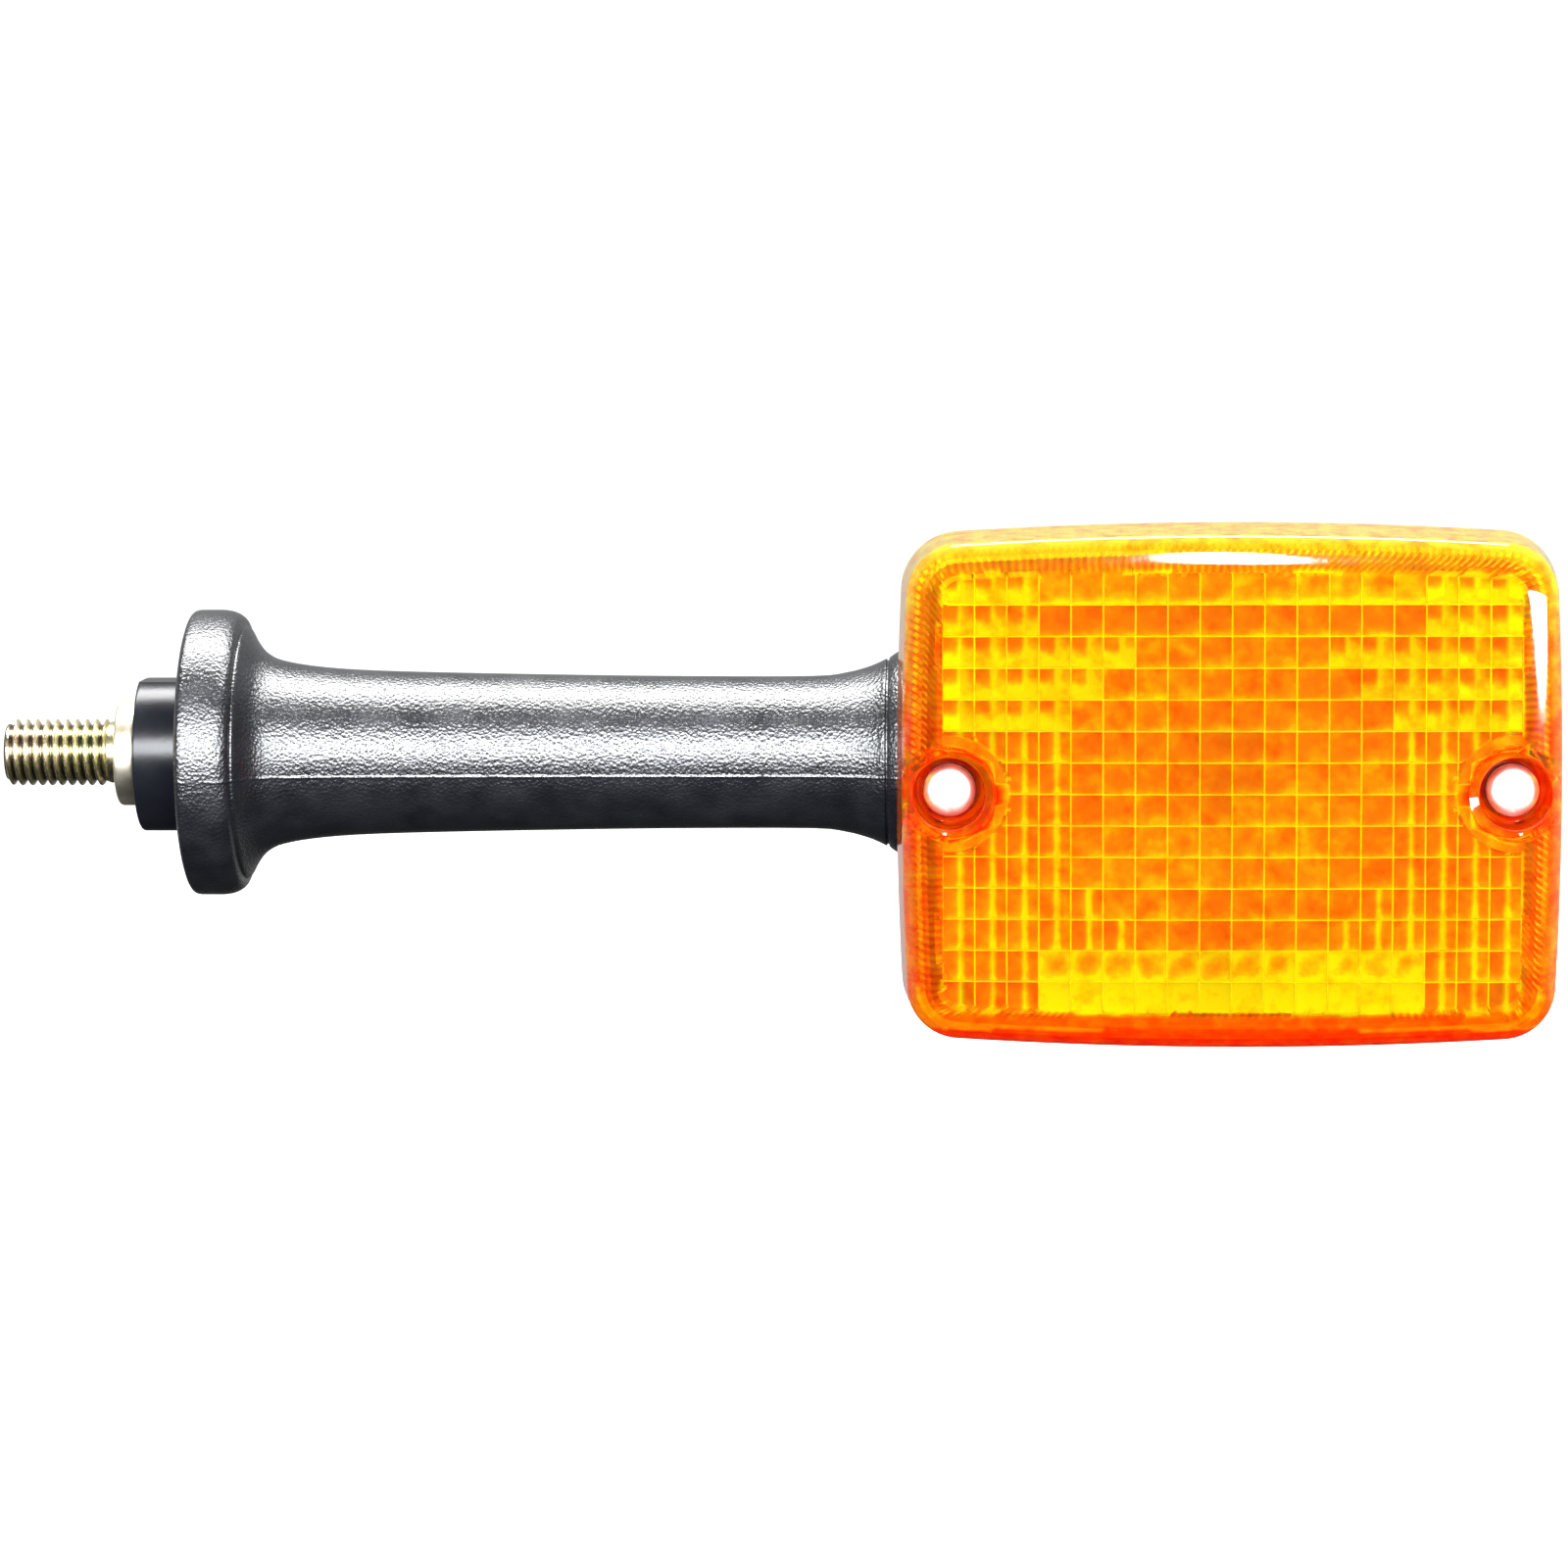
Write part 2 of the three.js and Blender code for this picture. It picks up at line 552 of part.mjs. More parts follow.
function makeGlassMount() {
  const end = GLASS.neckEnd;
  return inLamp(turned([
    [0, end - 14], [1.6, end - 13.6], [2, end - 11], [2.6, end - 4], [4.6, end], [0, end],
  ], 16));
}

function makeSupport(side) {
  const { y, span, wire } = FILAMENT;
  const foot = GLASS.neckEnd - 14 - GAP - wire;
  const points = [[side * 1.1, foot, 0], [side * 1.6, foot - 3, 0], [side * 2.8, foot - 8, 0],
    [side * span, y + 0.9, 0]];
  return inLamp(tubeAlong(points, wire, 6, 6));
}

function makeFilament() {
  const { y, span, radius } = FILAMENT;
  return inLamp(tubeAlong([[-span, y, 0], [-span / 2, y - 1, 0], [0, y - 1.3, 0], [span / 2, y - 1, 0],
    [span, y, 0]], radius, 8, 6));
}

// ---- the assembly ----
const FINISHES = {
  zinc_gold: { color: 0xc9a24a, roughness: 0.32, metalness: 1 },
  bright_steel: { color: 0xc8ccd0, roughness: 0.25, metalness: 1 },
  brass: { color: 0xc79a4b, roughness: 0.3, metalness: 1 },
  black_rubber: { color: 0x16171a, roughness: 0.55, metalness: 0 },
  black_plastic: { color: 0x0d0f14, roughness: 0.25, metalness: 0 },
  amber: { color: 0xf57a00, roughness: 0.08, metalness: 0 },
  mirror: { color: 0xe2e4e6, roughness: 0.08, metalness: 1 },
  glass: { color: 0xeef2f2, roughness: 0.02, metalness: 0 },
  phenolic: { color: 0x6b3a1e, roughness: 0.6, metalness: 0 },
  red_sleeve: { color: 0xa1221b, roughness: 0.5, metalness: 0 },
  green_sleeve: { color: 0x2d5a34, roughness: 0.5, metalness: 0 },
  tungsten: { color: 0x55585c, roughness: 0.45, metalness: 1 },
};

const lamp = new THREE.Group();

function add(name, geometry, finish) {
  const mesh = new THREE.Mesh(geometry, new THREE.MeshStandardMaterial(FINISHES[finish]));
  mesh.name = name;
  lamp.add(mesh);
}

add("mounting_stud", makeStud(), "zinc_gold");
add("stud_collar", makeCollar(), "zinc_gold");
add("key_boss", makeBoss(), "black_plastic");
add("flange_plate", alongStem(ring(BOSS.hole, PLATE.radius, PLATE.back, PLATE.front)), "bright_steel");
add("lead_grommet", makeGrommet(), "black_rubber");
add("rubber_stem", makeStem(), "black_rubber");
add("stem_insert", makeInsert(), "bright_steel");
add("stem_washer", alongStem(ring(BOSS.hole, STEM_WASHER.radius, STEM_WASHER.back, STEM_WASHER.front)),
  "bright_steel");
add("stem_nut", makeStemNut(), "bright_steel");
add("live_lead", makeHotLead(), "red_sleeve");
add("ground_lead", makeGroundLead(), "green_sleeve");

add("housing", makeHousing(), "black_plastic");
add("lens_gasket", makeGasket(), "black_rubber");
add("reflector", makeReflector(), "mirror");
add("lens", makeLens(), "amber");

add("socket_shell", makeSocketShell(), "bright_steel");
add("socket_bracket", makeBracket(), "bright_steel");
add("ground_tab", makeGroundTab(), "brass");
add("contact_disc", inLamp(ring(1.5, CONTACT.disc, CONTACT.discFront, CONTACT.discBack)), "phenolic");
add("contact_tip", makeContactTip(), "brass");
add("contact_spring", makeSpring(), "bright_steel");

for (const [label, side] of [["left", -1], ["right", 1]]) {
  const seal = ring(SEAL.inner, SEAL.outer, SEAL.front, SEAL.back, 24);
  add(`lens_screw_${label}`, makeLensScrew(side), "bright_steel");
  add(`screw_seal_${label}`, inLamp(seal, side * WELL.x), "black_rubber");
  add(`bracket_screw_${label}`, makeBracketScrew(side), "bright_steel");
  add(`filament_support_${label}`, makeSupport(side), "tungsten");
}

add("bulb_base", makeBulbBase(), "brass");
add("bulb_insulator", inLamp(disc(6.2, BULB.baseBack - 2, BULB.baseBack, 24)), "phenolic");
add("bulb_contact", makeBulbContact(), "tungsten");
add("bulb_pin_upper", makeBulbPin(1), "brass");
add("bulb_pin_lower", makeBulbPin(-1), "brass");
add("bulb_glass", makeGlass(), "glass");
add("glass_mount", makeGlassMount(), "glass");
add("filament", makeFilament(), "tungsten");

export default lamp;
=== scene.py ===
"""Looks of a motorcycle turn signal indicator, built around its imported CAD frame."""

import math

import bpy
import bmesh
import numpy as np
from mathutils import Euler, Matrix, Vector
from mathutils.geometry import delaunay_2d_cdt
from mathutils.kdtree import KDTree


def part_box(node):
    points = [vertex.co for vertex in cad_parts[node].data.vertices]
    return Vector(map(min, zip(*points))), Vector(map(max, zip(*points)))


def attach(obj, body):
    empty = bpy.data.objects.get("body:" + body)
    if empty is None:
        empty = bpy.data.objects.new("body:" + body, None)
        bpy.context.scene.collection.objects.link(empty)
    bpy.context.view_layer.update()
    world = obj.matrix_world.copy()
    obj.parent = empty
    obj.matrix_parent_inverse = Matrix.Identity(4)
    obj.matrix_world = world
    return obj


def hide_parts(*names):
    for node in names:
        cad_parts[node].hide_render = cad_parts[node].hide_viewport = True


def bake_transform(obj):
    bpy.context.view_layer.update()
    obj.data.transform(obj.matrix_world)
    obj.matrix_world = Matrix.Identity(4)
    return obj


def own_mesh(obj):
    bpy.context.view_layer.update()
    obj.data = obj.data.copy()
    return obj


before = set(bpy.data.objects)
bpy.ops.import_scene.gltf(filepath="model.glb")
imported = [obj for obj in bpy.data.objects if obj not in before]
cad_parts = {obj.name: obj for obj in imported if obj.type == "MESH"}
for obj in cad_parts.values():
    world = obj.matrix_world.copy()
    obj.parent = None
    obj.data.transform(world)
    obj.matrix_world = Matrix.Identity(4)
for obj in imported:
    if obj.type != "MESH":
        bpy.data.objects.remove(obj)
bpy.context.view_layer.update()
scene = bpy.context.scene

# ---- driving dimensions, in millimetres, taken from the frame where it has them ----
MM = 0.001


def extent(node):
    low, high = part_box(node)
    return Vector(low) / MM, Vector(high) / MM


LENS_LOW, LENS_HIGH = extent("lens")
LAMP_X = (LENS_LOW.x + LENS_HIGH.x) / 2
LAMP_Z = (LENS_LOW.z + LENS_HIGH.z) / 2
HALF_WIDTH = (LENS_HIGH.x - LENS_LOW.x) / 2
HALF_HEIGHT = (LENS_HIGH.z - LENS_LOW.z) / 2
CORNER = 8.8
BOW_SIDE = 0.67
BOW_TOP = 1.2
LENS_FRONT = LENS_LOW.y
LENS_RIM = LENS_HIGH.y
LENS_WALL = 2.2
LENS_DRAFT = 1.0
LENS_EDGE = 5.0
LENS_CROWN = 1.6

CELL_WIDTH = 4.6
CELL_HEIGHT = 4.52
COLUMNS = 18
# Plain cells each side of the middle, row by row from the top; the cells beyond them are prisms.
PLAIN_REACH = [6, 6, 3, 4, 5, 5, 5, 5, 5, 5, 4, 3, 6, 6]
ROWS = len(PLAIN_REACH)
CREST = 0.12  # how far right of a prism's middle its ridge runs, in half cells
WELL_X = 40.5
WELL_BORE = 5.2
WELL_WALL = 6.6
WELL_FLOOR = -25.2
WELL_BACK = -23.6
WELL_HOLE = 2.4
WELL_RING = 8.4

RIB_COUNT = 272
RIB_DEPTH = 0.32
POINTS_PER_RIB = 4

STUD_TIP = extent("mounting_stud")[0].x
THREAD_RADIUS = 5.0
THREAD_PITCH = 1.5
THREAD_START = -12.6
STEM_END = extent("rubber_stem")[1].x
CLEARANCE = 0.3  # between parts that sit in one another


# ---- mesh tools ----
def finish_mesh(obj, crease):
    """Outward faces, smooth shading and sharp edges where the surface turns by more than crease degrees."""
    work = bmesh.new()
    work.from_mesh(obj.data)
    bmesh.ops.remove_doubles(work, verts=work.verts, dist=2e-7)
    bmesh.ops.recalc_face_normals(work, faces=work.faces)
    work.to_mesh(obj.data)
    work.free()
    obj.data.shade_smooth()
    obj.data.set_sharp_from_angle(angle=math.radians(crease))
    return obj


def solid(name, points, faces, crease=30):
    mesh = bpy.data.meshes.new(name)
    mesh.from_pydata([tuple(float(c) * MM for c in p) for p in points], [], faces)
    obj = bpy.data.objects.new(name, mesh)
    scene.collection.objects.link(obj)
    return finish_mesh(obj, crease)


def between_rings(ring_count, count):
    """Quads between successive rings that each have count points."""
    faces = []
    for start in range(0, (ring_count - 1) * count, count):
        for k in range(count):
            j = (k + 1) % count
            faces.append([start + k, start + j, start + count + j, start + count + k])
    return faces


def apply_modifiers(obj):
    bpy.context.view_layer.update()
    obj.data = bpy.data.meshes.new_from_object(obj.evaluated_get(bpy.context.evaluated_depsgraph_get()))
    obj.modifiers.clear()


def softened(profile, radius, closed=True):
    """The profile with each real corner drawn round, by up to that radius."""
    count = len(profile)
    result = []
    for i, corner in enumerate(profile):
        if not closed and i in (0, count - 1):
            result.append(corner)
            continue
        here = Vector(corner)
        to_last = Vector(profile[i - 1]) - here
        to_next = Vector(profile[(i + 1) % count]) - here
        if to_last.length < 1e-6 or to_next.length < 1e-6 or to_last.angle(to_next) > math.radians(155):
            result.append(corner)
            continue
        reach = min(radius, 0.45 * to_last.length, 0.45 * to_next.length)
        start = here + to_last.normalized() * reach
        end = here + to_next.normalized() * reach
        for step in range(5):
            t = step / 4
            point = start * (1 - t) ** 2 + here * (2 * t * (1 - t)) + end * t**2
            result.append((point.x, point.y))
    return result


def turned(name, profile, place, segments=96, crease=30, angles_at=None):
    """A body of revolution through (radius, distance along the axis); on the axis its ends are closed."""
    points = []
    rings = []
    for radius, along in profile:
        if radius < 1e-9:
            rings.append([len(points)] * segments)
            points.append(place(0, 0, along))
            continue
        rings.append(list(range(len(points), len(points) + segments)))
        angles = angles_at(radius) if angles_at else [2 * math.pi * k / segments for k in range(segments)]
        points += [place(radius * math.cos(angle), radius * math.sin(angle), along) for angle in angles]
    open_ended = profile[0][0] < 1e-9 and profile[-1][0] < 1e-9
    faces = []
    for a, b in zip(rings, rings[1:] + ([] if open_ended else rings[:1])):
        for k in range(segments):
            j = (k + 1) % segments
            corners = list(dict.fromkeys([a[k], a[j], b[j], b[k]]))
            if len(corners) > 2:
                faces.append(corners)
    return solid(name, points, faces, crease)


def on_stem(u, v, along):
    return (along, v, u)


def in_lamp(x=0.0, z=0.0):
    return lambda u, v, along: (LAMP_X + x + u, along, LAMP_Z + z + v)


def rod(name, radius, start, end, place, segments=64):
    return turned(name, [(0, start), (radius, start), (radius, end), (0, end)], place, segments)


def block(name, low, high):
    points = [(x, y, z) for x in (low[0], high[0]) for y in (low[1], high[1]) for z in (low[2], high[2])]
    faces = [(0, 1, 3, 2), (4, 6, 7, 5), (0, 4, 5, 1), (2, 3, 7, 6), (0, 2, 6, 4), (1, 5, 7, 3)]
    return solid(name, points, faces)


def combine(body, operation, *tools):
    """Joins, cuts or trims closed bodies; the tools are used up."""
    for tool in tools:
        modifier = body.modifiers.new("combine", "BOOLEAN")
        modifier.operation = operation
        modifier.solver = "MANIFOLD"
        modifier.object = tool
    apply_modifiers(body)
    for tool in tools:
        bpy.data.objects.remove(tool)
    return body


def join(body, *tools, crease=30):
    return finish_mesh(combine(body, "UNION", *tools), crease)


def cut(body, *tools, crease=30):
    return finish_mesh(combine(body, "DIFFERENCE", *tools), crease)


def curve_points(points, steps):
    """Points along a smooth line through the given ones."""
    guide = np.array(points, float)
    padded = np.vstack([2 * guide[0] - guide[1], guide, 2 * guide[-1] - guide[-2]])
    result = []
    for i in range(len(guide) - 1):
        p0, p1, p2, p3 = padded[i : i + 4]
        for t in np.arange(steps) / steps:
            result.append(0.5 * (2 * p1 + (p2 - p0) * t + (2 * p0 - 5 * p1 + 4 * p2 - p3) * t**2
                                 + (3 * p1 - p0 - 3 * p2 + p3) * t**3))
    result.append(guide[-1])
    return result


def tube(name, path, radius, sides=16):
    """A round tube along a path, with flat ends."""
    path = [Vector(p) for p in path]
    points = []
    normal = None
    for i, centre in enumerate(path):
        tangent = (path[min(i + 1, len(path) - 1)] - path[max(i - 1, 0)]).normalized()
        if normal is None:
            normal = tangent.orthogonal().normalized()
        normal = (normal - tangent * normal.dot(tangent)).normalized()
        other = tangent.cross(normal)
        for k in range(sides):
            angle = 2 * math.pi * k / sides
            points.append(centre + radius * (math.cos(angle) * normal + math.sin(angle) * other))
    faces = between_rings(len(path), sides)
    faces.append(list(range(sides)))
    faces.append(list(range((len(path) - 1) * sides, len(path) * sides)))
    return solid(name, points, faces, 50)


# ---- outlines of the lamp, as (x, z) about its middle, anticlockwise seen from the front ----
def bowed_rectangle(half_width, half_height, corner, bow_side, bow_top, count):
    """A rectangle with round corners whose sides bow out; points evenly spaced along it."""
    centre_x = half_width - bow_side - corner
    centre_z = half_height - bow_top - corner
    signs = [(1, 1), (-1, 1), (-1, -1), (1, -1)]
    points = []
    for k, (sx, sz) in enumerate(signs):
        for i in range(24):
            angle = (k + i / 24) * math.pi / 2
            points.append((sx * centre_x + corner * math.cos(angle),
                           sz * centre_z + corner * math.sin(angle)))
        nx, nz = signs[(k + 1) % 4]
        out = (k + 1) * math.pi / 2
        bow = bow_side if k % 2 else bow_top
        for i in range(60):
            t = i / 60
            bulge = corner + bow * (1 - (2 * t - 1) ** 2)
            points.append((centre_x * (sx + (nx - sx) * t) + bulge * math.cos(out),
                           centre_z * (sz + (nz - sz) * t) + bulge * math.sin(out)))
    loop = np.array(points + points[:1])
    length = np.concatenate([[0], np.cumsum(np.linalg.norm(np.diff(loop, axis=0), axis=1))])
    wanted = np.arange(count) / count * length[-1]
    return np.stack([np.interp(wanted, length, loop[:, 0]), np.interp(wanted, length, loop[:, 1])], axis=1)


def outline(inset, count, smallest=2.5):
    """The lamp's own outline, drawn in by an inset."""
    corner = max(CORNER - inset, smallest)
    return bowed_rectangle(HALF_WIDTH - inset, HALF_HEIGHT - inset, corner, BOW_SIDE, BOW_TOP, count)


def loft(name, loops, crease=30):
    """A closed body through loops of points in the lamp's frame, with a flat fan at each end."""
    count = len(loops[0])
    points = [(LAMP_X + x, y, LAMP_Z + z) for loop in loops for x, y, z in loop]
    faces = between_rings(len(loops), count)
    for start, loop in ((0, loops[0]), ((len(loops) - 1) * count, loops[-1])):
        points.append((LAMP_X, float(np.mean([p[1] for p in loop])), LAMP_Z))
        middle = len(points) - 1
        faces += [[middle, start + i, start + (i + 1) % count] for i in range(count)]
    return solid(name, points, faces, crease)


def level(flat, y):
    return [(x, y, z) for x, z in flat]


# ---- the lens ----
def crown(x, z):
    """How far the front falls back from its middle."""
    u = min(abs(x) / (HALF_WIDTH - LENS_EDGE), 1)
    v = min(abs(z) / (HALF_HEIGHT - LENS_EDGE), 1)
    return LENS_CROWN * (1 - (1 - u * u) * (1 - v * v))


def cell_of(x, z):
    """A point's cell, as steps from the middle and the row from the top, and its place there, -1 to 1."""
    column = math.floor(x / CELL_WIDTH)
    row = min(max(math.floor(ROWS / 2 - z / CELL_HEIGHT), 0), ROWS - 1)
    u = 2 * (x / CELL_WIDTH - column) - 1
    v = 2 * (z / CELL_HEIGHT - (ROWS / 2 - row - 1)) - 1
    side = column if column >= 0 else -column - 1
    return side, row, u, max(-1.0, min(1.0, v))


def cell_relief(x, z):
    """Height of the optics over the inner face of the front, at a point about the lamp's middle."""
    side, row, u, v = cell_of(x, z)
    if max(abs(u), abs(v)) > 0.955:
        return 0.0
    if side < PLAIN_REACH[row]:
        tilt = {0: 0.2, 1: 0.1, 12: 0.3, 13: 0.42}.get(row, 0.0)
        return 0.45 + 0.14 * (1 - u * u) + 0.16 * (1 - v * v) + tilt * v
    ridge = 1 - abs(u - CREST) / (1 + CREST if u < CREST else 1 - CREST)
    upright = 0.55 if row < 5 else 0.18
    scallop = 0.3 if row < 5 else 0.2
    drop = max(0.0, -v - 0.55 - scallop * abs(u)) * (1.0 if row < 5 else 0.5)
    return 0.45 + 0.8 * ridge ** 0.85 + upright * (1 - v * v) - drop


def eased(value, start, end):
    return min(max((value - start) / (end - start), 0.0), 1.0)


def cell_tone_with_painted_light_and_shade(x, z):
    """The amber's tone over the cells, 0 deep orange and 1 yellow: yellow in the grooves between cells, where
    the amber is thinner, and elsewhere painted light and shade standing for light refracted by the cells.
    """
    side, row, u, v = cell_of(x, z)
    if max(abs(u), abs(v)) > 0.94:
        return 1.0
    uneven = 0.08 * math.sin(12.9 * math.floor(x / CELL_WIDTH) + 7.3 * row)
    # painted light: each cell turns yellower towards its bottom edge
    painted_cell_bottom_light = max(0.0, -v) ** 3
    if side < PLAIN_REACH[row]:
        # painted light and shade row by row: the top row paler, the second deeper, the two bottom rows yellow
        # with deeper middles, and a painted slant of shade across each plain cell
        base = {0: 0.56, 1: 0.21, 12: 0.98, 13: 1.12}.get(row, 0.38)
        middle = {12: 0.42, 13: 0.2}.get(row, 0.06) * (1 - u * u) * (1 - v * v)
        return base + uneven - 0.14 * u * v - middle + {0: 0.65, 1: 0.5}.get(row, 0.25) * painted_cell_bottom_light
    if row < 5:
        # painted shade over each prism's left and right facets, leaving painted yellow light along its
        # scalloped bottom
        left = eased(u, CREST, -0.2) * eased(v, -0.45 + 0.3 * abs(u), 0.3)
        right = eased(u, 0.25, 0.55) * eased(v, -0.2, 0.5)
        return 0.92 + uneven - 0.62 * left - 0.4 * right
    # painted highlight: a yellow line down each prism's ridge
    painted_ridge_highlight = math.exp(-((u - CREST) / 0.2) ** 2)
    return 0.28 + uneven + 0.14 * u + 0.66 * painted_ridge_highlight + 0.4 * painted_cell_bottom_light


def inner_front(x, z):
    return LENS_FRONT + LENS_WALL + crown(x, z)


def lens_outer():
    count = 320
    loops = []
    rounds = 10
    for i in range(rounds + 1):
        angle = (i / rounds) * math.pi / 2
        flat = outline(LENS_DRAFT + LENS_EDGE * (1 - math.sin(angle)), count)
        fall = LENS_EDGE * (1 - math.cos(angle))
        loops.append([(x, LENS_FRONT + crown(x * 1.1, z * 1.1) + fall, z) for x, z in flat])
    for share in (0.25, 0.5, 0.75, 1.0):
        start = LENS_FRONT + LENS_CROWN + LENS_EDGE
        loops.append(level(outline(LENS_DRAFT * (1 - share), count), start + (LENS_RIM - start) * share))
    face = loops[0]
    inner = [[(x * s, LENS_FRONT + crown(x * s, z * s), z * s) for x, _, z in face]
             for s in np.linspace(0.04, 0.96, 18)]
    return loft("lens_outer", inner + loops, 30)


def inside_loop(points, loop):
    """Which of the points lie inside the closed loop."""
    inside = np.zeros(len(points), bool)
    for (x0, z0), (x1, z1) in zip(loop, np.roll(loop, -1, axis=0)):
        crossing = (z0 > points[:, 1]) != (z1 > points[:, 1])
        if crossing.any():
            inside ^= crossing & (points[:, 0] < x0 + (points[:, 1] - z0) * (x1 - x0) / ((z1 - z0) or 1e-12))
    return inside


def gap_to(points, others):
    """Each point's distance to the nearest of the others."""
    away = points[:, None] - others[None]
    return np.min(np.hypot(away[..., 0], away[..., 1]), axis=1)


def capped(name, boundary, height, lines_x, lines_z, circles, loops, crease):
    """A closed body with a relief over (x, z) inside boundary as its front; loops lead on to its back."""
    count = len(boundary)
    flat = [tuple(p) for p in boundary]
    edges = [(i, (i + 1) % count) for i in range(count)]
    steps = 96
    for cx, cz, radius in circles:
        turn = 2 * math.pi * np.arange(steps) / steps
        ring = np.stack([cx + radius * np.cos(turn), cz + radius * np.sin(turn)], axis=1)
        kept = inside_loop(ring, boundary) & (gap_to(ring, boundary[::2]) > 0.4)
        index = {}
        for k in np.flatnonzero(kept):
            index[k] = len(flat)
            flat.append(tuple(ring[k]))
        edges += [(index[k], index[(k + 1) % steps]) for k in index if (k + 1) % steps in index]
    grid = np.array([(x, z) for x in lines_x for z in lines_z])
    grid = grid[inside_loop(grid, boundary)]
    grid = grid[gap_to(grid, np.array(flat)[::2]) > 0.22]
    vertices = [Vector(p) for p in flat] + [Vector(p) for p in grid]
    result = delaunay_2d_cdt(vertices, edges, [list(range(count))], 1, 1e-5)
    out_vertices, out_faces, source = result[0], result[2], result[3]
    place = {}
    points = []
    for index, origins in enumerate(source):
        x, z = out_vertices[index]
        if origins and min(origins) < count:
            place[index] = min(origins)
        else:
            place[index] = count + len(points)
            points.append((LAMP_X + x, height(x, z), LAMP_Z + z))
    front = [(LAMP_X + x, height(x, z), LAMP_Z + z) for x, z in boundary]
    points = front + points
    faces = [[place[i] for i in face] for face in out_faces]
    last = list(range(count))
    for loop in loops:
        start = len(points)
        points += [(LAMP_X + x, y, LAMP_Z + z) for x, y, z in loop]
        following = list(range(start, start + count))
        faces += [[last[i], last[(i + 1) % count], following[(i + 1) % count], following[i]]
                  for i in range(count)]
        last = following
    points.append((LAMP_X, loops[-1][0][1], LAMP_Z))
    faces += [[len(points) - 1, last[(i + 1) % count], last[i]] for i in range(count)]
    return solid(name, points, faces, crease)


def ribbed(flat, depth):
    """The outline with ribs across the edge, except along the bottom."""
    count = len(flat)
    ahead = np.roll(flat, -1, axis=0) - np.roll(flat, 1, axis=0)
    normal = np.stack([ahead[:, 1], -ahead[:, 0]], axis=1)
    normal /= np.linalg.norm(normal, axis=1)[:, None]
    phase = np.arange(count) / count * RIB_COUNT * 2 * math.pi
    amount = depth * (0.5 + 0.5 * np.cos(phase)) * np.clip((flat[:, 1] + HALF_HEIGHT - 8) / 3, 0, 1)
    return flat - normal * amount[:, None]


def lens_hollow():
    count = RIB_COUNT * POINTS_PER_RIB
    edge = 3.2
    inset = LENS_DRAFT + LENS_WALL
    boundary = outline(inset + edge, count)
    wells = [(-WELL_X, 0), (WELL_X, 0)]

    def height(x, z):
        gap = min(math.hypot(x - cx, z - cz) for cx, cz in wells)
        near_edge = abs(z) > ROWS / 2 * CELL_HEIGHT - 0.05 or abs(x) > HALF_WIDTH - inset - edge - 0.25
        if gap < WELL_RING + 0.1 or near_edge:
            return inner_front(x, z)
        return inner_front(x, z) + cell_relief(x, z)

    shares = [-0.96, -0.92, -0.72, -0.45, -0.16, CREST, 0.2, 0.45, 0.72, 0.92, 0.96, 1.0]
    lines_x = [CELL_WIDTH * (k + (1 + s) / 2) for k in range(-COLUMNS // 2, COLUMNS // 2) for s in shares]
    lines_z = [CELL_HEIGHT * (k + (1 + s) / 2) for k in range(-ROWS // 2, ROWS // 2) for s in shares]
    lines_x.append(-COLUMNS // 2 * CELL_WIDTH)
    loops = []
    rounds = 6
    for i in range(1, rounds + 1):
        angle = (i / rounds) * math.pi / 2
        flat = ribbed(outline(inset + edge * (1 - math.sin(angle)), count), RIB_DEPTH * i / rounds)
        fall = edge * (1 - math.cos(angle))
        loops.append([(x, inner_front(x * 1.15, z * 1.15) + fall, z) for x, z in flat])
    deep = LENS_FRONT + LENS_WALL + LENS_CROWN + edge
    shelf = LENS_RIM - 2.6
    loops.append(level(ribbed(outline(inset - 0.5, count), RIB_DEPTH), (deep + shelf) / 2))
    loops.append(level(ribbed(outline(inset - 0.8, count), RIB_DEPTH), shelf))
    loops.append(level(outline(inset - 0.9, count), shelf + 0.3))
    loops.append(level(outline(LENS_WALL, count), LENS_RIM + 1))
    circles = [(x, z, r) for x, z in wells for r in (WELL_RING, WELL_RING + 0.25)]
    return capped("lens_hollow", boundary, height, lines_x, lines_z, circles, loops, 12)


def tint(obj, tone):
    """Stores the amber's tone, which holds painted light and shade as well as thickness, its surface's
    roughness and its clearness at each point, for its material.
    """
    stored = [obj.data.attributes.new(name, "FLOAT", "POINT").data for name in ("thinness_and_painted_light", "frost", "clear")]
    for i, vertex in enumerate(obj.data.vertices):
        x, y, z = vertex.co / MM
        for values, value in zip(stored, tone(x - LAMP_X, y, z - LAMP_Z)):
            values[i].value = value
    return obj


def outer_tone_with_painted_shade(x, y, z):
    top = eased(z, 10, HALF_HEIGHT - 3)
    side = eased(abs(x), HALF_WIDTH - 8, HALF_WIDTH - 3)
    wall = eased(y, LENS_FRONT + 2, LENS_FRONT + 5)
    clear = 0.98 - wall * (0.28 + 0.26 * top)
    # painted shade: the bottom band of the outside is given a deep orange tone
    if z < 4 - HALF_HEIGHT:
        return 0.24, 0.03, clear
    # the top wall and the side walls are a deeper orange than the face
    return 0.9 - 0.09 * top * wall - 0.35 * side * (1 - top), 0.03, clear


def well_tone(x, y, z):
    return 0.5, 0.04, 0.84


